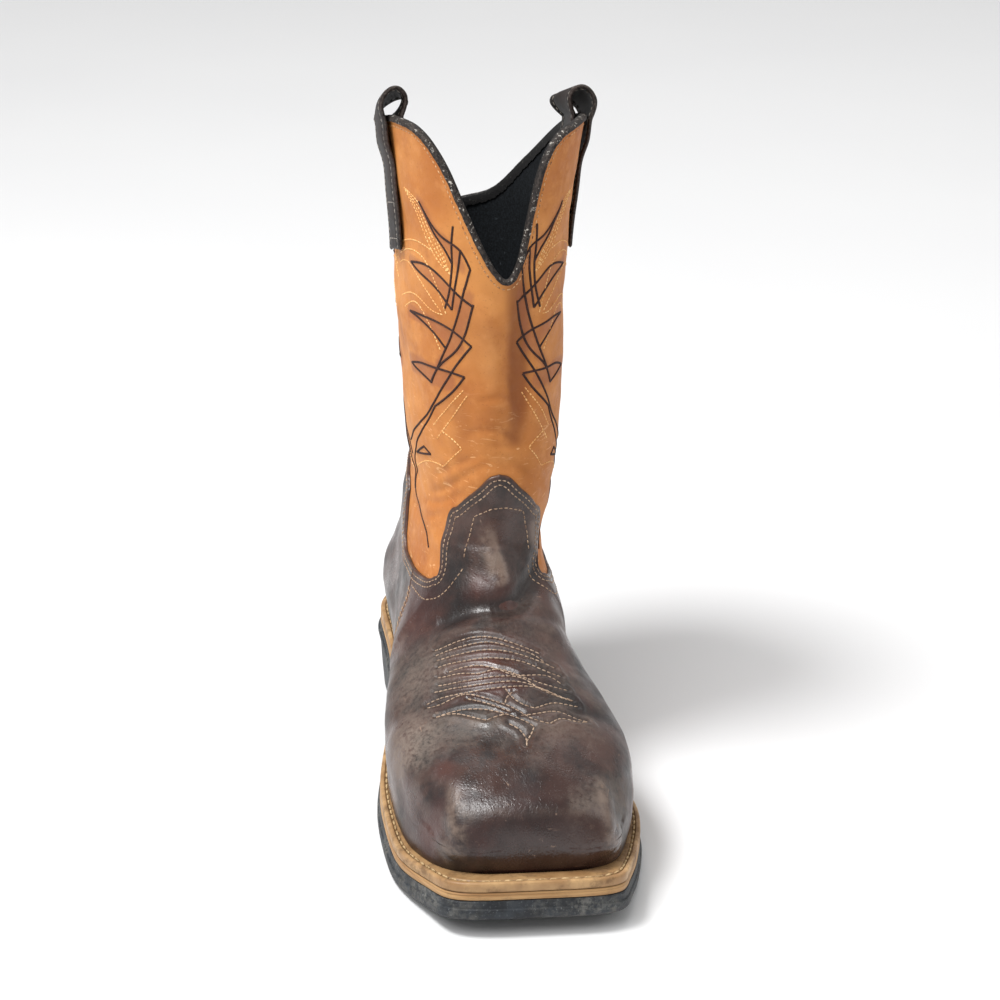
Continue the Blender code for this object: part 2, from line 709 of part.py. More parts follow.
def make_heel():
    """Heel block under the seat: it follows the sole's edge and ends in a slanted breast."""
    count = COLUMNS
    breast = y_of(BREAST_ALONG)
    layers = []
    for inset, share in ((HEEL_TAPER + OUTSOLE_BEVEL, 0.0), (HEEL_TAPER, 0.06), (0.0, 1.0)):
        back = y_of(1) - inset
        start = breast + BREAST_SLANT * (1 - share)
        turn = np.linspace(0, np.pi / 2, count)
        y = start + (back - start) * np.sin(turn)

        def width(side, y=y, back=back, inset=inset):
            full = side * (EDGE[side](along_of(y)) - axis(y)) - inset
            return full * rounded(back - y, HEEL_ROUND, HEEL_ROUNDNESS)

        x = np.concatenate([axis(y) - width(-1), (axis(y) + width(1))[-2::-1]])
        loop_y = np.concatenate([y, y[-2::-1]])
        top = outsole_under(loop_y) - PLATE_CLEARANCE
        layers.append(np.stack([x, loop_y, top * share], axis=-1))
    points, faces = loft(np.stack(layers))
    columns = len(layers[0])
    for first in (0, (len(layers) - 1) * columns):
        for step in range(count - 1):
            far = columns - 1 - step
            quad = (first + step, first + step + 1, first + far - 1, first + far)
            faces.append(list(dict.fromkeys(quad)))
    return make_object("heel", points, faces, "outsole_rubber")


def make_welt(seat):
    """Ledge of the welt round the whole boot. Its hole is the upper's inner line, so the upper stands on it."""

    def bottom(y):
        return outsole_top(y) + MIDSOLE_THICKNESS + PLATE_CLEARANCE

    outer = np.stack([sole_loop(WELT_INSET, bottom), sole_loop(WELT_CORNER, feather)])
    inner = seat.copy()
    inner[:, 2] = feather(inner[:, 1])
    inner_low = seat.copy()
    inner_low[:, 2] = bottom(inner_low[:, 1])
    layers = np.concatenate([outer, inner[None], inner_low[None]])
    return make_object("welt", *loft(layers, closed_rows=True), "welt_rubber")


def shrunk(loop, margin):
    """A loop moved inwards in plan by a margin."""
    ahead = np.roll(loop, -1, axis=0) - np.roll(loop, 1, axis=0)
    inward = np.stack([ahead[:, 1], -ahead[:, 0]], axis=-1)
    inward /= np.linalg.norm(inward, axis=-1, keepdims=True)
    moved = loop.copy()
    moved[:, :2] += inward * margin
    centre = loop[:, :2].mean(axis=0)
    if np.abs(moved[:, :2] - centre).sum() > np.abs(loop[:, :2] - centre).sum():
        moved[:, :2] = loop[:, :2] - inward * margin
    return moved


def make_insole(seat):
    """Footbed inside the upper: it lies on the midsole within the welt's hole."""
    low = shrunk(seat, PLATE_CLEARANCE)
    high = low.copy()
    low[:, 2] = outsole_top(low[:, 1]) + MIDSOLE_THICKNESS + PLATE_CLEARANCE
    high[:, 2] = feather(high[:, 1]) + INSOLE_ABOVE_WELT
    return make_object("insole", *loft(np.stack([low, high]), caps="sides"), "insole_cloth")


def folded_split(turned):
    """The split of a wall whose second face runs back down: the same diagonals seen from below."""
    edge = np.zeros_like(turned[:1])
    return np.concatenate([turned, edge, ~turned[::-1], edge])


def make_upper():
    """The hollow upper: outer and inner face of one leather wall, joined at the collar and at the feather."""
    outer = grid_points(0.0)
    inner = grid_points(-UPPER_WALL)
    layers = np.concatenate([outer, inner[::-1]])
    faces = loft(layers, closed_rows=True, turned=folded_split(TURNED))
    return make_object("upper", *faces, "shaft_leather")


def make_overlay(name, columns, trim):
    """Vamp or counter: a leather sheet over the upper, from the welt to the overlays' edge."""
    form = grid_points(0.0)
    normals = facet_normals(form)

    def sheet(off):
        face = seated(form + normals * off)[: OVERLAY_ROWS + 1, columns]
        for end, beside in ((0, 1), (-1, -2)):
            step = face[:, beside] - face[:, end]
            face[:, end] += step / np.linalg.norm(step, axis=-1, keepdims=True) * trim
        return face

    layers = np.concatenate([sheet(CLEARANCE), sheet(CLEARANCE + OVERLAY_THICKNESS)[::-1]])
    split = folded_split(TURNED[:OVERLAY_ROWS, columns[:-1]])
    faces = loft(layers, closed_rows=True, closed_columns=False, caps="ends", turned=split)
    return make_object(name, *faces, "vamp_leather")


def make_binding():
    """Folded leather strip over the collar's edge, inside and out."""
    rim = grid_points(0.0)
    outer_low, outer_high = rim[-2], rim[-1]
    normal = grid_points(1.0)[-1] - outer_high
    upward = outer_high - outer_low
    upward = upward / np.linalg.norm(upward, axis=-1, keepdims=True)
    thick = CLEARANCE + BINDING_THICKNESS
    low_normal = grid_points(1.0)[-2] - outer_low

    def low(off):
        return outer_low + low_normal * off

    def high(off, rise):
        return outer_high + normal * off + upward * rise

    layers = np.stack(
        [
            low(CLEARANCE),
            high(CLEARANCE, CLEARANCE),
            high(-UPPER_WALL - CLEARANCE, CLEARANCE),
            low(-UPPER_WALL - CLEARANCE),
            low(-UPPER_WALL - thick),
            high(-UPPER_WALL - thick, CLEARANCE),
            high(-UPPER_WALL - CLEARANCE, thick * 0.9),
            high(-UPPER_WALL / 2, thick * 1.15),
            high(CLEARANCE, thick * 0.9),
            high(thick, CLEARANCE),
            low(thick),
        ]
    )
    return make_object("collar_binding", *loft(layers, closed_rows=True), "binding_leather")


def strap_path():
    """Rows of a pull strap from its outer foot over the loop to its inner foot: (drop, rise, off)."""
    clear = 2 * CLEARANCE + BINDING_THICKNESS
    middle = -UPPER_WALL / 2
    outer = clear + STRAP_CLEARANCE / 2 + STRAP_THICKNESS / 2
    near = STRAP_CLEARANCE + STRAP_THICKNESS / 2
    reach = outer - middle + STRAP_LOOP_SPREAD
    rows = []
    for share in (1.0, 0.75, 0.5, 0.3, 0.18):
        drop = STRAP_OUTER_LEG * share
        hug = ease((drop - 1.5 * BINDING_REACH) / BINDING_REACH)
        rows.append((drop, 0.0, outer + (near - outer) * hug))
    rows.append((0.0, 0.0, outer))
    for turn in np.linspace(0.18, 0.82, 7) * np.pi:
        rows.append((0.0, STRAP_LOOP_HEIGHT * np.sin(turn) ** 0.8, middle + reach * np.cos(turn)))
    inner = -UPPER_WALL - clear - CLEARANCE - STRAP_THICKNESS / 2
    rows.append((0.0, 0.0, inner))
    for share in (0.35, 0.7, 1.0):
        rows.append((STRAP_INNER_LEG * share, 0.0, inner))
    return rows


def make_strap(name, side):
    """Pull strap: a flat strip that is sewn outside, stands up as a loop over the collar and ends inside."""
    rows = strap_path()
    across = np.linspace(-0.5, 0.5, 5) * STRAP_WIDTH
    place = side * STRAP_AROUND
    ring = surface(np.array([place, place + 0.01]), up_at(np.array([place, place + 0.01]), COLLAR_DIP))
    per_metre = 0.01 / np.linalg.norm(ring[1] - ring[0])
    around = place + across * per_metre
    top = collar_height(around)
    centre = []
    for drop, rise, off in rows:
        base = surface(around, up_at(around, top - drop), off)
        base[:, 2] += rise
        centre.append(base)
    centre = np.stack(centre)
    along = np.gradient(centre, axis=0)
    sideways = np.gradient(centre, axis=1)
    normal = np.cross(sideways, along)
    normal /= np.linalg.norm(normal, axis=-1, keepdims=True)
    outer = centre + normal * STRAP_THICKNESS / 2
    inner = centre - normal * STRAP_THICKNESS / 2
    layers = np.concatenate([outer, inner[::-1]])
    return make_object(name, *loft(layers, closed_rows=True, closed_columns=False, caps="ends"), "vamp_leather")


def make_boot():
    make_finishes()
    seat = grid_points(-UPPER_WALL)[0]
    make_outsole()
    make_heel()
    make_plate(
        "midsole",
        lambda y: outsole_top(y) + PLATE_CLEARANCE,
        lambda y: outsole_top(y) + MIDSOLE_THICKNESS,
        ((MIDSOLE_CORNER, 0.0), (0.0, 0.5), (MIDSOLE_CORNER, 1.0)),
        "midsole_rubber",
    )
    make_welt(seat)
    make_insole(seat)
    make_upper()
    last = len(AROUND)
    vamp = [*range(last - SEAM_COLUMN, last), *range(0, SEAM_COLUMN + 1)]
    counter = list(range(SEAM_COLUMN, last - SEAM_COLUMN + 1))
    make_overlay("vamp", vamp, 0.0)
    make_overlay("heel_counter", counter, CLEARANCE)
    make_binding()
    make_strap("pull_strap_lateral", -1)
    make_strap("pull_strap_medial", 1)


for old in list(bpy.data.objects):
    bpy.data.objects.remove(old)
make_boot()
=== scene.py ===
# %% [markdown]
# # A western work boot
# A pull-on boot for a right foot: dark oiled vamp and heel counter, a tan shaft with stitched flames, a
# scalloped collar with pull straps, and a welted rubber sole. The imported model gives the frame. Here every
# soft skin is made again as a fine surface worked out with numpy, and every rubber layer gets its finish.

import bpy
import numpy as np
from mathutils import Matrix, Vector


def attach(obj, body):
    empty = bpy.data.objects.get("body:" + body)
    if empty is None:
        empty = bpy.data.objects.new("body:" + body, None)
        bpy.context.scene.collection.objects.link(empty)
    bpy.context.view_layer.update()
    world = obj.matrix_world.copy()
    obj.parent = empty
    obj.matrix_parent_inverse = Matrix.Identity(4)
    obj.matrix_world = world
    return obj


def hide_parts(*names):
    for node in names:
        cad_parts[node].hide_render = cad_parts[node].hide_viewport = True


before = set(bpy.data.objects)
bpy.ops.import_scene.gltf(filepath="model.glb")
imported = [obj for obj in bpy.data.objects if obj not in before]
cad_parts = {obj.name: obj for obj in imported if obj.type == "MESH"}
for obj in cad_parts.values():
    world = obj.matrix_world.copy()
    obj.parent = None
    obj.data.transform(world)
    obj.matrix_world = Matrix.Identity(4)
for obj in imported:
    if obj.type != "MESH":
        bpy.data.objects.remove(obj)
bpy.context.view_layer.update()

# %% [markdown]
# ## Curves from short tables
# A last maker describes a boot by a few sections, and each table below holds such stations. A steady curve
# never swings past its stations, which suits heights and edges. A bent curve is a natural spline, which
# suits outlines that must run without a break.

# %% Curves
def table(names, *rows):
    """Columns by name from rows of stations."""
    return dict(zip(names.split(), np.array(rows).T))


def steady(xs, ys):
    """Hermite curve. Its slope is the mean of its neighbours' slopes, limited so that it never overshoots."""
    xs, ys = np.asarray(xs, float), np.asarray(ys, float)
    gap = np.diff(xs)
    rise = np.diff(ys) / gap
    slope = np.concatenate([rise[:1], (rise[:-1] + rise[1:]) / 2, rise[-1:]])
    limit = 3 * np.minimum(np.abs(np.append(rise, rise[-1])), np.abs(np.append(rise[0], rise)))
    turns = np.append(rise, rise[-1]) * np.append(rise[0], rise) <= 0
    slope = np.where(turns, 0.0, np.sign(slope) * np.minimum(np.abs(slope), limit))

    def at(x):
        x = np.clip(x, xs[0], xs[-1])
        i = np.clip(np.searchsorted(xs, x, side="right") - 1, 0, len(gap) - 1)
        s = (x - xs[i]) / gap[i]
        start = ys[i] * (1 + 2 * s) * (1 - s) ** 2 + slope[i] * gap[i] * s * (1 - s) ** 2
        end = ys[i + 1] * s * s * (3 - 2 * s) - slope[i + 1] * gap[i] * s * s * (1 - s)
        return start + end

    return at


def bent(xs, ys):
    """Natural cubic spline: the second derivatives solve one small linear system."""
    xs, ys = np.asarray(xs, float), np.asarray(ys, float)
    gap = np.diff(xs)
    rise = np.diff(ys) / gap
    system, pull = np.eye(len(xs)), np.zeros(len(xs))
    for i in range(1, len(xs) - 1):
        system[i, i - 1 : i + 2] = gap[i - 1], 2 * (gap[i - 1] + gap[i]), gap[i]
        pull[i] = 6 * (rise[i] - rise[i - 1])
    bend = np.linalg.solve(system, pull)

    def at(x):
        x = np.clip(x, xs[0], xs[-1])
        i = np.clip(np.searchsorted(xs, x, side="right") - 1, 0, len(gap) - 1)
        a, b = (xs[i + 1] - x) / gap[i], (x - xs[i]) / gap[i]
        return a * ys[i] + b * ys[i + 1] + ((a**3 - a) * bend[i] + (b**3 - b) * bend[i + 1]) * gap[i] ** 2 / 6

    return at


def ease(share):
    """Smooth step from 0 to 1: three times the square less twice the cube."""
    share = np.clip(share, 0, 1)
    return share * share * (3 - 2 * share)


def unit(vectors):
    return vectors / np.linalg.norm(vectors, axis=-1, keepdims=True)


def walked(line):
    """Length from a line's start to each of its points."""
    return np.concatenate([[0], np.cumsum(np.linalg.norm(np.diff(line, axis=0), axis=-1))])


# %% [markdown]
# ## The boot's own sizes
# Lengths are in metres. The toe points to -Y and the inner side of the foot is +X. These are the sizes that
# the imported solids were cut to, so every skin made from them lies where its solid lies.

# %% Sizes
# Lengths and widths of the sole
SOLE_LENGTH = 0.310
BALL_WIDTH = 0.123
TOE_ROUND = 0.024
TOE_SQUARENESS = 5.0
HEEL_ROUND = 0.044
HEEL_ROUNDNESS = 2.1

# Heights of the sole
TOE_SPRING = 0.0085
HEEL_LIFT = 0.0265
OUTSOLE_THICKNESS = 0.0100
MIDSOLE_THICKNESS = 0.0038
WELT_THICKNESS = 0.0056
SPRING_ALONG = 0.20
SPRING_POWER = 1.5
LIFT_FROM = 0.34
LIFT_ALONG = 0.48

# Heel block: its breast as a share of the length, and how far the breast slants
BREAST_ALONG = 0.700
BREAST_SLANT = 0.0040

# Form of the upper
LEDGE = 0.0088
TOE_LEDGE_ROUND = 0.024
TOE_LEDGE_SQUARENESS = 4.0
INSTEP_RISE = 0.100
SHAFT_RISE = 0.206
SHAFT_WIDTH = 0.104
SIDE_BULGE = 0.0028
BULGE_HEIGHT = 0.060
SHAFT_POWER = 2.25
SHAFT_BLEND_LOW = 0.022
SHAFT_BLEND_HIGH = 0.090
FEATHER_FOLLOW = 0.16
LEDGE_FOLLOW = 0.16
FOOT_TOP = 0.65

# Walls, overlays and clearances
UPPER_WALL = 0.0026
OVERLAY_THICKNESS = 0.0014
BINDING_THICKNESS = 0.0012
BINDING_REACH = 0.0080
CLEARANCE = 0.0003
PLATE_CLEARANCE = 0.0005
STRAP_CLEARANCE = 0.0009

# Collar
COLLAR_DIP = 0.2595
COLLAR_SCALLOP = 0.0715

# Pull straps
STRAP_WIDTH = 0.030
STRAP_THICKNESS = 0.0020
STRAP_OUTER_LEG = 0.066
STRAP_INNER_LEG = 0.036
STRAP_LOOP_HEIGHT = 0.0142
STRAP_LOOP_SPREAD = 0.0026
STRAP_AROUND = 0.455


# %% Stations
SOLE_EDGES = table(
    "along lateral medial ledge",
    # along: share of SOLE_LENGTH from the toe; lateral, medial: shares of BALL_WIDTH; ledge: share of LEDGE
    (0.000, -0.328, 0.339, 1.00),
    (0.050, -0.368, 0.370, 1.00),
    (0.102, -0.424, 0.414, 0.98),
    (0.150, -0.466, 0.448, 0.90),
    (0.213, -0.489, 0.484, 0.78),
    (0.290, -0.498, 0.494, 0.70),
    (0.387, -0.491, 0.432, 0.62),
    (0.474, -0.455, 0.344, 0.54),
    (0.565, -0.406, 0.284, 0.50),
    (0.645, -0.379, 0.264, 0.50),
    (0.742, -0.374, 0.266, 0.52),
    (0.839, -0.381, 0.279, 0.56),
    (0.919, -0.383, 0.281, 0.60),
    (1.000, -0.379, 0.277, 0.62),
)

DOMES = table(
    "along lateral medial",
    # how full each side stands under the ridge: power of its superellipse
    (0.00, 2.35, 2.30),
    (0.20, 2.35, 2.20),
    (0.29, 2.35, 1.95),
    (0.36, 2.35, 1.95),
    (0.46, 2.35, 2.55),
    (0.60, 2.35, 2.35),
    (1.00, 2.35, 2.35),
)

AXIS = table(
    "along across",
    # the line that the rings are measured from; across: share of BALL_WIDTH
    (0.00, 0.005),
    (0.20, 0.009),
    (0.42, 0.006),
    (0.54, 0.002),
    (0.70, -0.004),
    (0.85, -0.014),
    (1.00, -0.028),
)

SHANK = table(
    "along thickness",
    # thickness: share of OUTSOLE_THICKNESS
    (0.00, 1.00),
    (0.34, 1.00),
    (0.42, 1.12),
    (0.50, 1.22),
    (0.60, 1.15),
    (0.68, 0.88),
    (0.76, 0.66),
    (0.82, 0.60),
    (1.00, 0.60),
)

RINGS = table(
    "up front front_rise back back_rise shaft width lean",
    # up: place of the ring, feather 0 to top 1; front, back: shares of SOLE_LENGTH from the toe
    # front_rise, back_rise: shares of INSTEP_RISE; shaft: share of SHAFT_RISE
    # width, lean: shares of SHAFT_WIDTH
    (0.00, 0.050, 0.000, 0.9700, 0.000, 0.000, 0.700, 0.000),
    (0.06, 0.042, 0.090, 0.9765, 0.050, 0.000, 0.700, 0.000),
    (0.12, 0.045, 0.195, 0.9800, 0.100, 0.000, 0.700, 0.000),
    (0.18, 0.063, 0.305, 0.9815, 0.145, 0.000, 0.700, 0.000),
    (0.24, 0.100, 0.390, 0.9815, 0.185, 0.000, 0.700, 0.000),
    (0.30, 0.161, 0.475, 0.9810, 0.230, 0.000, 0.700, 0.000),
    (0.36, 0.229, 0.550, 0.9790, 0.280, 0.000, 0.695, 0.000),
    (0.42, 0.300, 0.625, 0.9760, 0.340, 0.000, 0.690, 0.000),
    (0.48, 0.368, 0.695, 0.9710, 0.410, 0.000, 0.680, 0.000),
    (0.54, 0.432, 0.770, 0.9650, 0.495, 0.000, 0.640, -0.010),
    (0.60, 0.484, 0.860, 0.9600, 0.600, 0.000, 0.620, -0.022),
    (0.65, 0.512, 0.970, 0.9560, 0.725, 0.000, 0.628, -0.024),
    (0.70, 0.524, 1.000, 0.9550, 0.775, 0.080, 0.662, 0.002),
    (0.75, 0.530, 1.000, 0.9560, 0.790, 0.200, 0.722, 0.000),
    (0.80, 0.531, 1.000, 0.9600, 0.805, 0.335, 0.752, -0.006),
    (0.85, 0.530, 1.000, 0.9660, 0.815, 0.475, 0.780, -0.018),
    (0.90, 0.528, 1.000, 0.9720, 0.822, 0.625, 0.792, -0.024),
    (0.95, 0.526, 1.000, 0.9790, 0.824, 0.800, 0.850, -0.026),
    (1.00, 0.524, 1.000, 0.9860, 0.824, 1.000, 0.960, -0.028),
)

OVERLAY_EDGES = table(
    "around instep shaft",
    # upper edge of vamp and counter; around: share of the way from front to back; height above the feather
    # of the instep as shares of INSTEP_RISE and SHAFT_RISE: tab, shoulder, side dip, counter
    (0.000, 1.00, 0.167),
    (0.030, 1.00, 0.159),
    (0.063, 1.00, 0.130),
    (0.100, 1.00, 0.102),
    (0.133, 1.00, 0.074),
    (0.156, 1.00, 0.056),
    (0.164, 1.00, 0.010),
    (0.178, 0.85, 0.000),
    (0.218, 0.78, 0.000),
    (0.292, 0.74, 0.000),
    (0.390, 0.72, 0.000),
    (0.470, 0.72, 0.000),
    (0.515, 0.76, 0.000),
    (0.540, 0.88, 0.000),
    (0.560, 0.99, 0.000),
    (0.600, 1.00, 0.018),
    (0.700, 1.00, 0.043),
    (0.850, 1.00, 0.057),
    (1.000, 1.00, 0.062),
)

COLLAR_EDGES = table(
    "around rise",
    # around: lateral side below 0, medial side above; rise above the front dip: share of COLLAR_SCALLOP
    (-1.000, 0.035),
    (-0.900, 0.120),
    (-0.780, 0.400),
    (-0.650, 0.680),
    (-0.550, 0.830),
    (-0.450, 0.915),
    (-0.360, 0.970),
    (-0.280, 0.985),
    (-0.220, 0.945),
    (-0.180, 0.860),
    (-0.140, 0.720),
    (-0.100, 0.510),
    (-0.050, 0.245),
    (-0.010, 0.070),
    (0.022, 0.000),
    (0.045, 0.060),
    (0.062, 0.190),
    (0.080, 0.430),
    (0.100, 0.680),
    (0.125, 0.850),
    (0.160, 0.950),
    (0.210, 0.990),
    (0.280, 1.000),
    (0.360, 0.970),
    (0.450, 0.915),
    (0.550, 0.830),
    (0.650, 0.680),
    (0.780, 0.400),
    (0.900, 0.120),
    (1.000, 0.035),
)

SEAM_AROUND = 0.36
SEAM_ON_FEATHER = 0.64


# %% [markdown]
# ## The form of the last
# A boot is made over a last. Its surface here is a stack of rings that starts flat on the welt and turns
# until it is level in the shaft. Low rings take the foot's outline under a dome, high rings an ellipse.


# %% Sole heights and outline
def y_of(along):
    return (np.asarray(along) - 0.5) * SOLE_LENGTH


def along_of(y):
    return np.asarray(y) / SOLE_LENGTH + 0.5


SIDE_NAMES = {-1: "lateral", 1: "medial"}
EDGE = {side: bent(SOLE_EDGES["along"], SOLE_EDGES[name] * BALL_WIDTH) for side, name in SIDE_NAMES.items()}
LEDGE_AT = bent(SOLE_EDGES["along"], SOLE_EDGES["ledge"] * LEDGE)
DOME_AT = {side: steady(DOMES["along"], DOMES[name]) for side, name in SIDE_NAMES.items()}
AXIS_AT = bent(AXIS["along"], AXIS["across"] * BALL_WIDTH)
SHANK_AT = steady(SHANK["along"], SHANK["thickness"] * OUTSOLE_THICKNESS)


def axis(y):
    return AXIS_AT(along_of(y))


def outsole_top(y):
    """The sole rises to the toe by its spring and to the heel by its lift; the ball is level."""
    along = along_of(y)
    spring = np.clip(1 - along / SPRING_ALONG, 0, 1) ** SPRING_POWER
    lift = ease((along - LIFT_FROM) / LIFT_ALONG)
    return OUTSOLE_THICKNESS + TOE_SPRING * spring + HEEL_LIFT * lift


def outsole_under(y):
    return outsole_top(y) - SHANK_AT(along_of(y))


def feather(y):
    """Height of the line where the upper meets the welt."""
    return outsole_top(y) + MIDSOLE_THICKNESS + WELT_THICKNESS


def rounded(distance, length, power):
    """Share of the full width at a distance from a rounded end: a superellipse quarter."""
    left = 1 - np.clip(distance / length, 0, 1)
    return (1 - left**power) ** (1 / power)


def sole_side(side, y, front, back, inset):
    """Distance of the sole's edge from the axis on one side, inset by a margin."""
    full = side * (EDGE[side](along_of(y)) - axis(y)) - inset
    toe = rounded(y - front, TOE_ROUND, TOE_SQUARENESS)
    heel = rounded(back - y, HEEL_ROUND, HEEL_ROUNDNESS)
    return full * toe * heel


# %% Rings of the upper
def foot_shares(shares, up):
    """The same columns on a ring of the foot, where the vamp takes up more of the way to the back."""
    level = (0, 0.15 * SEAM_AROUND, SEAM_AROUND / 2, SEAM_AROUND, 0.6, 1)
    foot = steady(level, (0, 0.08, 0.22, SEAM_ON_FEATHER, 0.82, 1))
    low = 1 - ease(up / FOOT_TOP)
    return shares * (1 - low) + foot(shares) * low


def half_loop(side, width, front, back, shares):
    """Points of one side of a loop, from its front tip to its back tip, at shares of its length."""
    turn = np.linspace(0, np.pi, 1500)
    y = front + (back - front) * (1 - np.cos(turn)) / 2
    x = axis(y) + side * width(side, y)
    length = np.concatenate([[0], np.cumsum(np.hypot(np.diff(x), np.diff(y)))])
    wanted = shares * length[-1]
    return np.interp(wanted, length, x), np.interp(wanted, length, y)


SOLE_COLUMNS = 300


def sole_loop(inset, height):
    """Closed loop round the sole: lateral side from toe to heel, then medial side back to the toe."""
    front, back = y_of(0) + inset, y_of(1) - inset
    shares = np.linspace(0, 1, SOLE_COLUMNS)

    def width(side, y):
        return sole_side(side, y, front, back, inset)

    lateral, medial = (np.stack(half_loop(side, width, front, back, shares)) for side in (-1, 1))
    x, y = np.concatenate([lateral, medial[:, -2:0:-1]], axis=1)
    return np.stack([x, y, height(y)], axis=-1)


FRONT_Y, BACK_Y = (bent(RINGS["up"], y_of(RINGS[end])) for end in ("front", "back"))
FRONT_RISE, BACK_RISE = (steady(RINGS["up"], RINGS[end] * INSTEP_RISE) for end in ("front_rise", "back_rise"))
SHAFT_AT = steady(RINGS["up"], RINGS["shaft"] * SHAFT_RISE)
WIDTH_AT = bent(RINGS["up"], RINGS["width"] * SHAFT_WIDTH / 2)
LEAN_AT = bent(RINGS["up"], RINGS["lean"] * SHAFT_WIDTH)


def tip_height(y, up, rise):
    """Height of a ring's front or back tip."""
    return feather(y) + rise(up) + SHAFT_AT(up)


def ridge_height():
    """Height of the vamp's ridge over each place along the foot, past the toe's own front wall."""
    ups = np.linspace(0.06, 0.80, 300)
    y = FRONT_Y(ups)
    z = tip_height(y, ups, FRONT_RISE)
    order = np.argsort(y)
    return y[order], np.maximum.accumulate(z[order])


RIDGE_Y, RIDGE_Z = ridge_height()
OPEN_ABOVE = 10.0


def foot_width(side, y, z, up, front):
    """Width of the foot at one height: the feather's width under a dome that closes at the ridge."""
    full = side * (EDGE[side](along_of(y)) - axis(y)) - LEDGE_AT(along_of(y))
    ridge = np.interp(y, RIDGE_Y, RIDGE_Z, left=RIDGE_Z[0], right=OPEN_ABOVE)
    height = z - feather(y)
    share = np.clip(height / np.maximum(ridge - feather(y), 1e-4), 0, 1)
    power = DOME_AT[side](along_of(y))
    dome = (1 - share**power) ** (1 / power)
    corner = rounded(y - front, TOE_LEDGE_ROUND, TOE_LEDGE_SQUARENESS)
    corner = 1 - (1 - corner) * np.clip(1 - up / LEDGE_FOLLOW, 0, 1)
    bulge = SIDE_BULGE * np.sin(np.pi * np.clip(height / BULGE_HEIGHT, 0, 1))
    return (full + bulge) * dome * corner


def ring_width(up):
    """Function of side and place for a ring's width: the foot's low down, the shaft's ellipse above."""
    front, back = FRONT_Y(up), BACK_Y(up)

    def width(side, y):
        share = (y - front) / (back - front)
        z = feather(y) + FRONT_RISE(up) * (1 - share) + BACK_RISE(up) * share + SHAFT_AT(up)
        foot = foot_width(side, y, z, up, front) * rounded(back - y, HEEL_ROUND, HEEL_ROUNDNESS)
        shaft = WIDTH_AT(up) * (1 - np.abs(2 * share - 1) ** SHAFT_POWER) ** (1 / SHAFT_POWER)
        blend = ease((z - feather(y) - SHAFT_BLEND_LOW) / (SHAFT_BLEND_HIGH - SHAFT_BLEND_LOW))
        return foot * (1 - blend) + shaft * blend

    return width


def upper_form(rows, columns):
    """The upper's whole surface as a grid: [row, column] with around from -1 over the front 0 to 1."""
    ups = np.linspace(0, 1, rows)
    shares = np.linspace(0, 1, columns)
    grid = np.empty((rows, 2 * columns - 1, 3))
    for row, up in enumerate(ups):
        front, back = FRONT_Y(up), BACK_Y(up)
        front_z, back_z = tip_height(front, up, FRONT_RISE), tip_height(back, up, BACK_RISE)
        width = ring_width(up)
        placed = foot_shares(shares, up)
        lateral, medial = (np.stack(half_loop(side, width, front, back, placed)) for side in (-1, 1))
        x, y = np.concatenate([lateral[:, ::-1], medial[:, 1:]], axis=1)
        x = x + LEAN_AT(up)
        share = (y - front) / (back - front)
        level = front_z + (back_z - front_z) * share
        seated = feather(y) + FRONT_RISE(up) * (1 - share) + BACK_RISE(up) * share
        lift = ease(up / FEATHER_FOLLOW)
        grid[row] = np.stack([x, y, seated * (1 - lift) + level * lift], axis=-1)
    return grid


FORM_ROWS, FORM_COLUMNS = 361, 241
FORM = upper_form(FORM_ROWS, FORM_COLUMNS)


def on_form(values, around, up):
    """Value of a grid at around (-1 to 1, front 0) and up (0 to 1), with round the back joined."""
    around = (np.asarray(around) + 1) % 2 - 1
    c = (around + 1) / 2 * (2 * FORM_COLUMNS - 2)
    r = np.clip(up, 0, 1) * (FORM_ROWS - 1)
    c0 = np.clip(c.astype(int), 0, 2 * FORM_COLUMNS - 3)
    r0 = np.clip(r.astype(int), 0, FORM_ROWS - 2)
    fc, fr = (c - c0)[..., None], (r - r0)[..., None]
    low = values[r0, c0] * (1 - fc) + values[r0, c0 + 1] * fc
    high = values[r0 + 1, c0] * (1 - fc) + values[r0 + 1, c0 + 1] * fc
    return low * (1 - fr) + high * fr


def form_normals(grid):
    """Outward unit normals of the grid, joined across the back."""
    wide = np.concatenate([grid[:, -2:-1], grid, grid[:, 1:2]], axis=1)
    across = wide[:, 2:] - wide[:, :-2]
    upward = np.gradient(grid, axis=0)
    return unit(np.cross(across, upward))


NORMALS = form_normals(FORM)


def surface(around, up, off=0.0):
    """Point of the upper's surface, moved out along its normal."""
    around, up = np.broadcast_arrays(around, up)
    normal = unit(on_form(NORMALS, around, up))
    return on_form(FORM, around, up) + normal * np.asarray(off)[..., None]


def up_at(around, height):
    """How far up the form each column reaches a height."""
    ups = np.linspace(0, 1, 241)
    around, height = np.broadcast_arrays(around, height)
    z = on_form(FORM, around[..., None], np.broadcast_to(ups, around.shape + ups.shape))[..., 2]
    reached = [np.interp(h, column, ups) for column, h in zip(z.reshape(-1, len(ups)), height.reshape(-1))]
    return np.array(reached).reshape(around.shape)


def collar_height(around):
    """Scalloped collar: a narrow rounded dip in front, peaks in front of the straps, a wide dip behind."""
    rise = steady(COLLAR_EDGES["around"], COLLAR_EDGES["rise"])
    return COLLAR_DIP + COLLAR_SCALLOP * rise((np.asarray(around) + 1) % 2 - 1)


def overlay_height(around):
    """Upper edge of vamp and counter, above the feather at the instep."""
    instep = steady(OVERLAY_EDGES["around"], OVERLAY_EDGES["instep"])
    shaft = steady(OVERLAY_EDGES["around"], OVERLAY_EDGES["shaft"])
    base = feather(y_of(0.512))
    far = np.abs(around)
    return base + INSTEP_RISE * instep(far) + SHAFT_RISE * shaft(far)

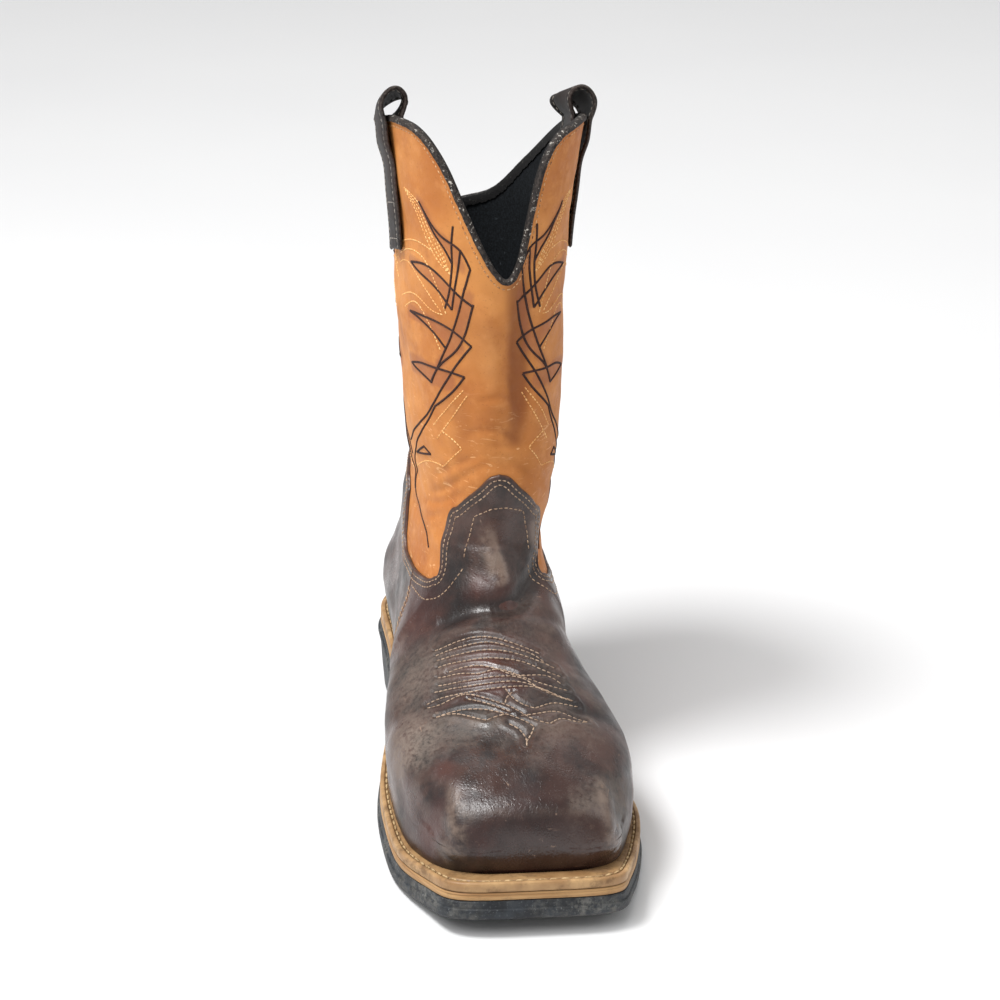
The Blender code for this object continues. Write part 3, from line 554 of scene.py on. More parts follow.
# %% [markdown]
# ## A mesh from a grid
# Every skin here is a sheet of leather with an outer and an inner face. Both faces are grids of points with
# the same columns. Stacked as one ring of rows, they close round the edges, so the sheet is a solid.


# %% Grids to meshes
def grid_faces(rows, columns, closed_rows, closed_columns):
    """Quads between neighbours of a grid, wrapped round where it is closed."""
    index = np.arange(rows * columns).reshape(rows, columns)
    below, above = index, np.roll(index, -1, axis=0)
    if not closed_rows:
        below, above = below[:-1], above[:-1]
    right, up_right = np.roll(below, -1, axis=1), np.roll(above, -1, axis=1)
    quads = np.stack([below, right, up_right, above], axis=-1)
    if not closed_columns:
        quads = quads[:, :-1]
    return quads.reshape(-1, 4), index


def added(name, data):
    made = bpy.data.objects.new(name, data)
    bpy.context.scene.collection.objects.link(made)
    return made


def make_piece(name, points, faces, finish, replaces=(), marks=None, smooth=35):
    """An object at the origin from points and faces. marks are named values at its points for its finish."""
    mesh = bpy.data.meshes.new(name)
    mesh.from_pydata(np.asarray(points, float).reshape(-1, 3).tolist(), [], faces)
    if mesh.validate(verbose=False):
        print(name, "had faces to mend")
    for mark, values in (marks or {}).items():
        layer = mesh.attributes.new(mark, "FLOAT", "POINT")
        layer.data.foreach_set("value", np.asarray(values, np.float32).ravel())
    mesh.shade_smooth()
    if smooth:
        mesh.set_sharp_from_angle(angle=np.radians(smooth))
    mesh.materials.append(finish.material)
    made = added(name, mesh)
    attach(made, "root")
    if replaces:
        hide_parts(*replaces)
    print(name, len(mesh.polygons), "faces")
    return made


def fold_sheet(outer, inner, closed_columns):
    """One closed sheet from an outer and an inner face: rows run up the outer face and down the inner one.

    Columns run to the right as seen from outside, so the outer face turns outwards.
    """
    layers = np.concatenate([outer, inner[::-1]])
    quads, index = grid_faces(len(layers), layers.shape[1], True, closed_columns)
    faces = quads.tolist()
    if not closed_columns:
        faces += [index[:, 0].tolist(), index[::-1, -1].tolist()]
    return layers, faces


def fold_marks(outer, inner_rows):
    """Marks of a folded sheet: those of its outer face, and zero on its inner face."""
    return np.concatenate([outer, np.zeros((inner_rows, outer.shape[1]))])


# %% [markdown]
# ## Finishes as sums of noise
# Leather and rubber are never one colour. A finish below is a shader whose colour, roughness and bumps are
# sums of noises at the sizes that the real skin shows: blotches, pores, scratches. One small class wraps a
# socket so that the sums read as plain arithmetic, and one method makes every other node.


# %% Shader arithmetic
class Value:
    """A number that varies over a surface: an output socket with arithmetic."""

    def __init__(self, finish, socket):
        self.finish, self.socket = finish, socket

    def math(self, operation, *others):
        made = self.finish.node("ShaderNodeMath", {"operation": operation}, [self, *others])
        return Value(self.finish, made.outputs[0])

    def __add__(self, other):
        return self.math("ADD", other)

    def __mul__(self, other):
        return self.math("MULTIPLY", other)

    def __sub__(self, other):
        return self.math("SUBTRACT", other)

    def __rsub__(self, other):
        return self.math("MULTIPLY", -1.0).math("ADD", other)

    __radd__, __rmul__ = __add__, __mul__

    def least(self, other):
        return self.math("MINIMUM", other)

    def most(self, other):
        return self.math("MAXIMUM", other)

    def between(self, low, high):
        """0 below low, 1 above high, a smooth step between. With low above high it falls instead."""
        sockets = {"Value": self, "From Min": min(low, high), "From Max": max(low, high)}
        made = self.finish.node("ShaderNodeMapRange", {"interpolation_type": "SMOOTHSTEP"}, sockets)
        step = Value(self.finish, made.outputs["Result"])
        return 1 - step if low > high else step


class Finish:
    """A material whose node tree is written as sums. Its colours are given as screen levels, 0 to 255."""

    def __init__(self, name, roughness=0.5, gloss=0.5):
        self.material = bpy.data.materials.new(name)
        self.material.use_nodes = True
        self.tree = self.material.node_tree
        self.shader = self.tree.nodes["Principled BSDF"]
        self.shader.inputs["Roughness"].default_value = roughness
        self.shader.inputs["Specular IOR Level"].default_value = gloss
        self.place = self.node("ShaderNodeTexCoord").outputs["Object"]
        self.colour = self.relief = None

    def node(self, kind, settings=None, sockets=None):
        """A node of a kind: its settings first, then values or links for its sockets, by name or in order."""
        made = self.tree.nodes.new(kind)
        for setting, value in (settings or {}).items():
            setattr(made, setting, value)
        named = sockets.items() if isinstance(sockets, dict) else enumerate(sockets or [])
        for socket, value in named:
            target = made.inputs[socket]
            value = value.socket if isinstance(value, Value) else value
            if isinstance(value, bpy.types.NodeSocket):
                self.tree.links.new(value, target)
            else:
                target.default_value = value
        return made

    def stretched(self, stretch, shift=(0, 0, 0)):
        """Object coordinates stretched and shifted, so that a noise gets a direction or another draw."""
        sockets = {"Vector": self.place, "Scale": stretch, "Location": shift}
        return self.node("ShaderNodeMapping", None, sockets).outputs["Vector"]

    def noise(self, scale, detail=2.0, rough=0.5, stretch=(1, 1, 1), shift=(0, 0, 0), distortion=0.0):
        sockets = {
            "Vector": self.stretched(stretch, shift),
            "Scale": scale,
            "Detail": detail,
            "Roughness": rough,
            "Distortion": distortion,
        }
        return Value(self, self.node("ShaderNodeTexNoise", None, sockets).outputs[0])

    def cells(self, scale, shift=(0, 0, 0)):
        sockets = {"Vector": self.stretched((1, 1, 1), shift), "Scale": scale}
        return Value(self, self.node("ShaderNodeTexVoronoi", None, sockets).outputs["Distance"])

    def along(self, axis):
        """One of the three object coordinates, in metres."""
        return Value(self, self.node("ShaderNodeSeparateXYZ", None, [self.place]).outputs[axis])

    def near(self, place, radius):
        """1 at a place in object coordinates, falling to 0 at a radius."""
        made = self.node("ShaderNodeVectorMath", {"operation": "DISTANCE"}, [self.place, place])
        return Value(self, made.outputs["Value"]).between(radius, radius * 0.1)

    def mark(self, name):
        """A named value at the mesh's points."""
        return Value(self, self.node("ShaderNodeAttribute", {"attribute_name": name}).outputs["Fac"])

    def drive(self, name, socket):
        """Links an input of the shader to a socket, in place of what drove it before."""
        self.tree.links.new(socket, self.shader.inputs[name])

    def tint(self, levels, share):
        """Mixes one colour over those that the finish has already."""
        sockets = {0: share, 6: self.colour, 7: srgb(levels)}
        made = self.node("ShaderNodeMix", {"data_type": "RGBA", "clamp_factor": True}, sockets)
        self.colour = made.outputs[2]
        self.drive("Base Color", self.colour)

    def paint(self, low, high, share):
        """The first two colours and the share of the second."""
        self.colour = srgb(low)
        self.tint(high, share)

    def rough(self, value):
        self.drive("Roughness", value.socket)

    def bump(self, height, depth, strength=1.0):
        """Adds a relief of a depth in metres to those that the finish has already."""
        sockets = {"Height": height, "Distance": depth, "Strength": strength}
        if self.relief:
            sockets["Normal"] = self.relief
        self.relief = self.node("ShaderNodeBump", None, sockets).outputs["Normal"]
        self.drive("Normal", self.relief)


def srgb(levels):
    """Linear colour with full alpha from screen levels: the inverse of the screen's own curve."""
    share = np.array(levels) / 255
    return (*np.where(share <= 0.04045, share / 12.92, ((share + 0.055) / 1.055) ** 2.4).tolist(), 1.0)


# %% [markdown]
# ## Creases
# Worn leather keeps the folds of the foot that bent it. Sculpting them by hand would work, but here each
# fold is a line on the surface with a depth and a width. A point sinks by the depth times a bell curve of
# its distance to the line, and the fold fades towards the line's ends. A negative depth is a ridge.

# %% Lines on the surface
AROUND_STEPS = np.linspace(-1, 1, 1601)
# one step around is about this much of a step up in length
ROUND_TO_UP = 0.42


def reached(height):
    """Function of around: how far up the form a height lies there, read from a fine table."""
    steps = up_at(AROUND_STEPS, height(AROUND_STEPS))
    return lambda around: np.interp((np.asarray(around) + 1) % 2 - 1, AROUND_STEPS, steps)


collar_up, edge_up = reached(collar_height), reached(overlay_height)


def stations_on(path, count, smooth=True):
    """Places (around, up) along a line through stations given in thousandths, smooth or with corners."""
    stations = np.array(path, float) / 1000
    step = np.hypot(np.diff(stations[:, 0]) * ROUND_TO_UP, np.diff(stations[:, 1]))
    along = np.concatenate([[0], np.cumsum(step)]) / step.sum()
    fine = np.linspace(0, 1, count)
    if smooth:
        return tuple(bent(along, values)(fine) for values in stations.T)
    return tuple(np.interp(fine, along, values) for values in stations.T)


def near_path(points, line):
    """Distance of every point to a line, and the share of the line at which it is nearest."""
    start, step = line[:-1], np.diff(line, axis=0)
    best, where = np.full(len(points), np.inf), np.zeros(len(points))
    for number, (first, leg) in enumerate(zip(start, step)):
        share = np.clip(((points - first) @ leg) / (leg @ leg), 0, 1)
        gap = np.linalg.norm(points - first - share[:, None] * leg, axis=-1)
        closer = gap < best
        best = np.where(closer, gap, best)
        where = np.where(closer, (number + share) / len(step), where)
    return best, where


# %% Folds of the leather
FOLDS = (
    # depth and width in millimetres, and a path of stations (around, up) in thousandths
    # the throat, where the foot turns into the shaft
    (4.2, 7.0, ((-215, 470), (-150, 515), (-80, 545), (-20, 556), (50, 560), (110, 575), (200, 600))),
    (2.0, 5.0, ((-30, 548), (20, 556), (70, 570), (120, 590), (165, 625))),
    (-2.0, 6.5, ((-26, 690), (-8, 660), (14, 625), (18, 600), (0, 578), (-40, 572))),
    (2.4, 7.5, ((52, 690), (62, 655), (70, 620), (58, 590))),
    (-1.5, 8.0, ((110, 700), (125, 660), (130, 620))),
    (-1.2, 6.0, ((-225, 430), (-165, 480), (-100, 505), (-30, 520))),
    (1.2, 5.0, ((-250, 400), (-190, 440), (-120, 480))),
    (1.0, 4.0, ((60, 535), (120, 520), (180, 490), (230, 450))),
    (-0.8, 5.0, ((40, 520), (110, 500), (180, 465))),
    # the flex line over the ball
    (0.7, 2.6, ((-260, 360), (-215, 400), (-185, 425))),
    (0.6, 2.2, ((-280, 330), (-235, 370), (-205, 395))),
    (0.7, 3.0, ((140, 420), (190, 390), (240, 345))),
    (0.5, 2.4, ((150, 395), (200, 360), (250, 315))),
    # behind the toe box
    (1.3, 5.5, ((-250, 120), (-240, 215), (-205, 300), (-150, 350), (-90, 378), (-30, 388))),
    (1.1, 5.5, ((-30, 388), (30, 380), (90, 350), (150, 310), (205, 255), (240, 170))),
    (-0.8, 7.0, ((-190, 250), (-150, 300), (-90, 335), (0, 345), (80, 320), (140, 280))),
    # the box of the toe: corners, the edge above its front face, and the face itself
    (-1.5, 5.5, ((-66, 10), (-70, 80), (-82, 150), (-100, 220))),
    (-1.5, 5.5, ((66, 10), (70, 80), (82, 150), (98, 220))),
    (-0.9, 8.0, ((-84, 150), (-40, 168), (0, 172), (40, 168), (84, 150))),
    (1.0, 10.0, ((-48, 80), (0, 88), (48, 80))),
    (1.1, 9.0, ((-110, 70), (-130, 100), (-150, 140))),
    (1.1, 9.0, ((105, 70), (125, 100), (145, 140))),
    (0.9, 10.0, ((-60, 215), (-10, 225), (40, 215))),
    (0.7, 6.0, ((60, 120), (95, 135), (130, 150))),
    # soft standing folds of the shaft
    (4.4, 9.0, ((50, 925), (60, 880), (64, 825), (60, 785), (42, 750))),
    (-1.4, 13.0, ((0, 900), (5, 850), (0, 800), (-15, 760))),
    (-1.2, 10.0, ((115, 900), (120, 850), (118, 800), (105, 760))),
    (1.4, 12.0, ((-120, 830), (-105, 790), (-120, 755), (-165, 735))),
    # fine wrinkles over the tab
    (1.0, 2.4, ((-290, 694), (-210, 706), (-140, 722), (-80, 735), (-30, 744))),
    (0.8, 2.0, ((-320, 684), (-230, 690), (-160, 702), (-105, 716))),
    (0.7, 1.8, ((-260, 716), (-190, 728), (-120, 742), (-50, 752))),
    (0.6, 1.8, ((-300, 668), (-240, 674), (-185, 684))),
    (0.8, 2.2, ((40, 744), (90, 734), (150, 716), (220, 700))),
    (0.7, 2.0, ((80, 752), (140, 738), (210, 722), (280, 712))),
    (0.6, 2.0, ((-100, 770), (-40, 776), (20, 772), (70, 760))),
    (0.5, 1.8, ((-60, 800), (0, 806), (50, 800))),
    (0.5, 2.2, ((10, 830), (40, 815), (62, 790))),
    # the ankle at both sides and behind
    (1.3, 4.5, ((-520, 650), (-440, 662), (-360, 655), (-300, 640))),
    (1.0, 4.0, ((-540, 690), (-450, 700), (-370, 694))),
    (1.6, 5.0, ((230, 640), (300, 650), (380, 655), (470, 645))),
    (1.1, 4.0, ((260, 690), (340, 702), (430, 700), (520, 690))),
    *((1.8, 6.0, ((700 * s, 742), (800 * s, 752), (900 * s, 756), (1000 * s, 757))) for s in (1, -1)),
    *((1.2, 5.0, ((740 * s, 790), (850 * s, 800), (1000 * s, 802))) for s in (1, -1)),
    *((-1.0, 7.0, ((760 * s, 772), (880 * s, 780), (1000 * s, 782))) for s in (1, -1)),
)
FOLD_LINES = [surface(*stations_on(path, 22)) for _, _, path in FOLDS]
FOLD_REACH = 2.6
CALM_BELOW, CALM_ABOVE = 0.07, 0.05


def close_to(points, line, reach):
    """Which points lie in the box around a line, widened by a reach: only those are worth measuring."""
    return np.all((points > line.min(axis=0) - reach) & (points < line.max(axis=0) + reach), axis=-1)


def fold_depth(points):
    """How far every point sinks: each fold's depth times a bell curve across it and a fade along it."""
    sunk = np.zeros(len(points))
    for (depth, width, _), line in zip(FOLDS, FOLD_LINES):
        inside = close_to(points, line, FOLD_REACH * width / 1000)
        gap, where = near_path(points[inside], line)
        fade = np.sqrt(np.clip(np.sin(np.pi * np.clip(where, 0.02, 0.98)), 0, 1))
        sunk[inside] += depth / 1000 * np.exp(-((gap * 1000 / width) ** 2)) * fade
    return sunk


def slouch(points):
    """Long soft waves of leather that hangs under its own weight: three sines across each other."""
    x, y, z = points.T
    waves = np.sin(95 * z + 41 * x) * np.sin(52 * y + 1.3) + 0.6 * np.sin(150 * z - 70 * y + 0.7)
    return 0.00045 * waves + 0.0002 * np.sin(310 * z + 160 * x + 0.4) * np.sin(230 * y)


def skin(around, up, off=0.0, more=None):
    """The worn surface: the last's surface, sunk by folds and waves, and moved out by off."""
    around, up = np.broadcast_arrays(np.asarray(around, float), np.asarray(up, float))
    base = surface(around, up)
    flat = base.reshape(-1, 3)
    sunk = fold_depth(flat) + slouch(flat)
    if more is not None:
        sunk = sunk + more(flat)
    # no fold at the welt or the collar, where other pieces join
    calm = ease(up / CALM_BELOW) * ease((collar_up(around) - up) / CALM_ABOVE)
    return surface(around, up, off - sunk.reshape(up.shape) * calm)


def skin_line(path, count, off, smooth=True, more=None):
    """Points and outward directions of a line on the worn surface."""
    around, up = stations_on(path, count, smooth)
    return skin(around, up, off, more), on_form(NORMALS, around, up)


# %% [markdown]
# ## The stitched pattern of the toe
# Rows of thread pull the leather down, so the skin puckers between them. The rows are lines on the vamp.
# The same lines later carry the threads themselves.

# %% Toe stitching
TOE_ROWS = (
    ((-204, 426), (-152, 462), (-102, 485), (-61, 498), (-27, 501), (-7, 497), (30, 482), (62, 462)),
    ((-197, 418), (-151, 450), (-98, 475), (-58, 488), (-28, 492), (-7, 488), (34, 472), (67, 443)),
    ((-188, 410), (-141, 440), (-94, 462), (-59, 474), (-30, 479), (-1, 476), (40, 458), (96, 421)),
    ((-180, 400), (-145, 423), (-97, 444), (-59, 458), (-31, 464), (0, 462), (50, 436), (109, 400)),
    ((-146, 406), (-118, 422), (-80, 438), (-52, 445), (-28, 443), (-4, 433), (30, 428), (99, 390)),
    ((-177, 382), (-135, 405), (-92, 421), (-60, 429), (-26, 443), (5, 432), (59, 401), (114, 372)),
    ((-172, 369), (-133, 390), (-91, 408), (-60, 420), (-29, 429), (-4, 430), (32, 408), (112, 357)),
    ((-180, 352), (-138, 378), (-93, 397), (-59, 410), (-34, 418), (-5, 421), (40, 402), (118, 351)),
    ((-196, 316), (-169, 347), (-129, 371), (-89, 388), (-59, 400), (-26, 410), (4, 412), (74, 378),
     (124, 349)),
)
TOE_LEAVES = (
    ((-194, 311), (-125, 368), (-66, 389), (-24, 383), (11, 358), (39, 340)),
    ((39, 340), (52, 342), (82, 329), (142, 299)),
    ((-88, 378), (-48, 380), (-14, 369)),
    ((-164, 309), (-98, 353), (-40, 368), (-2, 356), (15, 341)),
    ((15, 341), (1, 315)),
    ((-164, 308), (-88, 345), (-49, 347)),
    ((-49, 347), (-36, 357), (-22, 364)),
    ((-19, 347), (-8, 340), (1, 308)),
    ((-18, 409), (0, 386), (23, 373)),
    ((23, 373), (43, 375), (79, 364), (134, 334)),
    ((-20, 384), (-18, 392), (-7, 403)),
    ((-1, 362), (38, 362), (97, 329), (138, 301)),
)
GROOVE_DEPTH, GROOVE_WIDTH = 0.0006, 0.0012
PILLOW_HEIGHT, PILLOW_AWAY, PILLOW_WIDTH = 0.00055, 0.0026, 0.0016
PUCKER_REACH = 0.005
TOE_LINES = [surface(*stations_on(path, 20)) for path in TOE_ROWS + TOE_LEAVES]


def thread_gap(points):
    """Distance of every point to the nearest thread of the toe."""
    best = np.full(len(points), 1.0)
    for line in TOE_LINES:
        inside = close_to(points, line, PUCKER_REACH)
        gap, _ = near_path(points[inside], line)
        best[inside] = np.minimum(best[inside], gap)
    return best


def toe_pucker(points):
    """Grooves under the threads and soft pillows between them."""
    gap = thread_gap(points)
    groove = GROOVE_DEPTH * np.exp(-((gap / GROOVE_WIDTH) ** 2))
    pillow = PILLOW_HEIGHT * np.exp(-(((gap - PILLOW_AWAY) / PILLOW_WIDTH) ** 2))
    return groove - pillow


# %% [markdown]
# ## Leather, rubber and thread
# The vamp is oiled leather: nearly black where it is full of wax, brown where it has been rubbed, grey where
# dust sits in the grain, and it shines where it is stretched over the toe. The shaft is a lighter leather
# with a soft nap. Both get painted shade in their folds. Photographs could be laid over both, but noise
# follows any shape and needs no picture.


# %% Dark leather
def dark_leather():
    made = Finish("oiled brown leather", 0.42, 0.6)
    blotch = made.noise(26, 5, 0.66).between(0.38, 0.62)
    made.paint((25, 17, 16), (70, 47, 40), blotch)
    red = made.noise(17, 3, 0.55, shift=(3, 1, 2)).between(0.52, 0.72)
    made.tint((84, 42, 35), red.most(0.9 * made.near((-0.052, 0.012, 0.090), 0.042)) * 0.55)
    cap = made.near((0.004, -0.140, 0.045), 0.055)
    made.tint((36, 23, 23), cap * 0.6)
    sunk = made.mark("sunk")
    # painted shade: the leather is darkened down in the folds, by their depth
    made.tint((24, 18, 17), sunk.between(0.8, 3.4) * 0.75)
    # ridges of the folds get a paler, broken tint: partly rubbed wear, partly a painted highlight
    made.tint((142, 122, 108), sunk.between(-0.3, -1.4) * made.noise(130, 4, 0.6).between(0.3, 0.62) * 0.55)
    # dust in the grain: patches on the low flanks and over the ball
    low = made.along(2).between(0.115, 0.05) * made.along(2).between(0.028, 0.05)
    patch = made.noise(20, 4, 0.6, shift=(5, 0, 1)).between(0.47, 0.66)
    ball = made.near((-0.050, -0.036, 0.085), 0.036) + 0.5 * made.near((-0.030, -0.058, 0.095), 0.030)
    ball = ball + 0.6 * made.near((-0.052, -0.075, 0.060), 0.026)
    grain = made.noise(420, 4, 0.7).between(0.22, 0.64)
    dust = (patch * (0.1 + 0.6 * low) + 0.9 * ball).least(1.0) * grain
    made.tint((140, 126, 114), dust * 0.6)
    # scuffs: short pale scratches in two directions
    one_way = made.noise(210, 3, 0.6, stretch=(0.16, 1.0, 1.2), distortion=0.8).between(0.655, 0.74)
    other_way = made.noise(260, 3, 0.6, stretch=(1.1, 0.22, 0.9), shift=(1, 7, 3), distortion=0.6)
    where = made.noise(32, 3, 0.6, shift=(9, 4, 2)).between(0.5, 0.66)
    where = where.most(made.near((0.0, -0.138, 0.050), 0.034)).most(made.near((0.044, -0.118, 0.052), 0.022))
    scuff = one_way.most(other_way.between(0.66, 0.74)) * where
    made.tint((158, 130, 110), scuff * 0.6)
    # painted shade: the leather darkens in the grooves that the toe's threads pull down
    made.tint((24, 15, 13), made.mark("groove") * 0.6)
    made.tint((96, 60, 40), made.mark("edge") * made.noise(300, 2).between(0.3, 0.6) * 0.6)
    rough = 0.30 + 0.20 * made.noise(60, 4, 0.6, shift=(2, 2, 8)).between(0.3, 0.7) - 0.10 * blotch
    made.rough(rough + 0.35 * dust + 0.2 * scuff - 0.07 * cap)
    # relief: cells of the grain, pores, soft unevenness and fine wrinkles
    made.bump(made.cells(760).between(0.0, 0.55), 0.00009, 0.55)
    made.bump(made.noise(1500, 3, 0.6), 0.00008, 0.45)
    made.bump(made.noise(170, 4, 0.6), 0.0003, 0.4)
    wrinkle = made.noise(380, 3, 0.6, stretch=(1.0, 0.35, 0.5), distortion=1.2)
    made.bump(wrinkle.between(0.5, 0.64), 0.00016, 0.35)
    return made


# %% Tan leather
def tan_leather():
    made = Finish("tan shaft leather", 0.62, 0.35)
    made.paint((180, 109, 51), (211, 142, 76), made.noise(13, 4, 0.6).between(0.34, 0.68))
    made.tint((160, 88, 38), made.noise(40, 5, 0.65, shift=(4, 2, 7)).between(0.5, 0.74) * 0.6)
    made.tint((220, 154, 90), made.noise(110, 4, 0.6, shift=(1, 8, 2)).between(0.5, 0.72) * 0.3)
    sunk = made.mark("sunk")
    # painted shade: the shaft darkens down in its folds, by their depth
    made.tint((122, 64, 28), sunk.between(0.5, 2.8) * 0.7)
    # ridges of the folds are paler: partly pull-up of the stretched leather, partly a painted highlight
    made.tint((224, 160, 100), sunk.between(-0.3, -1.4) * 0.4)
    veins = made.noise(240, 4, 0.6, stretch=(0.35, 0.35, 1.3), shift=(0, 3, 5), distortion=1.6)
    made.tint((236, 186, 130), veins.between(0.6, 0.7) * made.along(2).between(0.21, 0.17) * 0.6)
    made.tint((150, 88, 62), made.mark("tint") * 0.5)
    made.tint((128, 74, 40), made.noise(900, 2, 0.6).between(0.62, 0.74) * 0.34)
    made.rough(0.56 + 0.16 * made.noise(240, 3, 0.6).between(0.3, 0.7))
    made.bump(made.noise(1300, 4, 0.65), 0.00010, 0.5)
    made.bump(made.cells(520, shift=(2, 2, 2)).between(0.0, 0.6), 0.00010, 0.35)
    made.bump(made.noise(210, 4, 0.6), 0.00040, 0.35)
    return made


# %% Lining, binding and straps
def cloth_lining():
    made = Finish("black lining cloth", 0.86, 0.2)
    weave = 0.5 * made.noise(1600, stretch=(1, 1, 0.4)) + 0.5 * made.noise(1600, stretch=(0.5, 0.5, 1.4))
    made.paint((10, 12, 14), (30, 34, 38), weave.between(0.35, 0.7))
    made.tint((96, 104, 110), made.noise(190, 4, 0.7, shift=(4, 4, 4)).between(0.66, 0.76) * 0.5)
    made.bump(weave, 0.00025, 0.7)
    return made


def rolled_binding():
    made = Finish("grey folded binding", 0.72, 0.35)
    twist = made.noise(950, 3, 0.6, stretch=(1.0, 1.0, 0.6))
    made.paint((24, 20, 19), (62, 54, 49), twist.between(0.34, 0.66))
    made.tint((30, 27, 28), made.noise(120, 4, 0.6).between(0.5, 0.66) * 0.7)
    fray = made.noise(620, 3, 0.7, shift=(6, 1, 3)).between(0.58, 0.66)
    made.tint((206, 200, 190), fray * made.noise(90, shift=(1, 1, 6)).between(0.38, 0.56) * 0.85)
    # painted shade: the part of the strip turned into the boot is painted nearly black
    made.tint((14, 14, 15), made.mark("inside") * 0.92)
    made.bump(twist, 0.0003, 0.8)
    made.bump(made.noise(1500), 0.0002, 0.6)
    return made


def strap_leather():
    made = Finish("dark strap leather", 0.55, 0.25)
    blotch = made.noise(60, 4, 0.62).between(0.34, 0.68)
    made.paint((13, 9, 8), (42, 29, 25), blotch)
    made.tint((72, 56, 49), made.noise(260, 4, 0.7).between(0.55, 0.72) * 0.3)
    made.tint((26, 21, 20), made.mark("sunk") * 0.7)
    fray = made.mark("edge") * made.noise(900, 3, 0.7).between(0.38, 0.62)
    made.tint((116, 106, 100), fray * 0.35)
    made.rough(0.5 + 0.25 * fray + 0.12 * blotch)
    made.bump(made.cells(800).between(0.0, 0.6), 0.00010, 0.5)
    made.bump(made.noise(1300, 3, 0.6), 0.00012, 0.6)
    return made


# %% Thread and piping
def thread(name, low, high, rough=0.6):
    made = Finish(name, rough)
    made.paint(low, high, made.noise(700, 3, 0.6).between(0.34, 0.66))
    made.bump(made.noise(2600, 2, 0.6, stretch=(1, 1, 0.5)), 0.0001, 0.6)
    return made


# %% Rubber and footbed
def welt_rubber():
    made = Finish("tan welt", 0.5, 0.45)
    made.paint((150, 112, 72), (196, 158, 110), made.noise(50, 4, 0.6).between(0.3, 0.7))
    grime = made.noise(90, 5, 0.7, shift=(1, 3, 3)).between(0.46, 0.66)
    made.tint((98, 72, 46), grime * 0.7)
    # painted shade in the stitch channel, at the foot of the side and where the welt runs under the upper
    made.tint((104, 76, 48), made.mark("groove") * 0.7)
    made.rough(0.46 + 0.25 * grime)
    made.bump(made.noise(900, 3, 0.6), 0.0001, 0.6)
    return made


def midsole_rubber():
    made = Finish("tan midsole", 0.52, 0.4)
    layers = made.noise(60, 3, 0.6, stretch=(0.25, 0.25, 5))
    made.paint((164, 122, 76), (196, 156, 106), layers.between(0.32, 0.68))
    made.tint((110, 82, 52), made.noise(70, 5, 0.7, shift=(7, 3, 0)).between(0.52, 0.7) * 0.5)
    # painted shade in the joints to the outsole and the welt and in the moulded line of the side
    made.tint((110, 82, 54), made.mark("groove") * 0.7)
    made.bump(made.noise(700, 3, 0.6), 0.00012, 0.5)
    return made


def outsole_rubber():
    made = Finish("black outsole", 0.6, 0.45)
    made.paint((18, 22, 27), (42, 47, 53), made.noise(120, 4, 0.65).between(0.35, 0.68))
    made.tint((112, 116, 118), made.noise(800, 3, 0.7).between(0.58, 0.7) * 0.6)
    dust = made.noise(26, 4, 0.6, shift=(2, 5, 1)).between(0.41, 0.6)
    dust = dust * made.noise(330, 4, 0.7).between(0.36, 0.66)
    made.tint((126, 124, 118), dust * 0.7)
    made.rough(0.55 + 0.3 * dust)
    made.bump(made.noise(620, 4, 0.65), 0.0004, 0.8)
    return made


def footbed_cloth():
    made = Finish("dark footbed cloth", 0.9, 0.2)
    made.paint((28, 27, 27), (62, 58, 54), made.noise(900, 3, 0.6).between(0.35, 0.66))
    made.bump(made.noise(1500, 3, 0.6), 0.0003, 0.7)
    return made


VAMP, SHAFT, LINING, BINDING = dark_leather(), tan_leather(), cloth_lining(), rolled_binding()
STRAP, WELT, MIDSOLE, OUTSOLE = strap_leather(), welt_rubber(), midsole_rubber(), outsole_rubber()
FOOTBED = footbed_cloth()
VAMP_THREAD = thread("vamp thread", (128, 104, 86), (190, 164, 140))
SEAM_THREAD = thread("seam thread", (120, 92, 72), (186, 158, 130))
GOLD_THREAD = thread("gold thread", (214, 148, 74), (248, 204, 138))
TAN_THREAD = thread("collar thread", (132, 80, 42), (222, 178, 128))
PIPING = thread("dark piping", (34, 17, 13), (66, 36, 27), 0.85)
WELT_THREAD = thread("welt thread", (150, 120, 80), (206, 176, 130))
STRAP_THREAD = thread("strap thread", (98, 92, 85), (168, 160, 150))


# %% [markdown]
# ## Vamp and heel counter
# The dark leather is cut in two: the vamp over the foot, with its tab up the front of the shaft, and the
# counter round the heel. Each is a sheet that lies on the upper and ends in a cut, slightly burnished edge.
# The upper rows follow the cut edge, so the tab's outline is exact, and columns crowd where it is steep.

# %% The two overlays
ON_VAMP = CLEARANCE + OVERLAY_THICKNESS
EDGE_ROUND = 0.0011
GROOVE_MARK, EDGE_MARK = 0.0011, 0.0016
# the inner face is hidden, so it needs only every eighth row
INNER_ROWS = slice(None, None, 8)


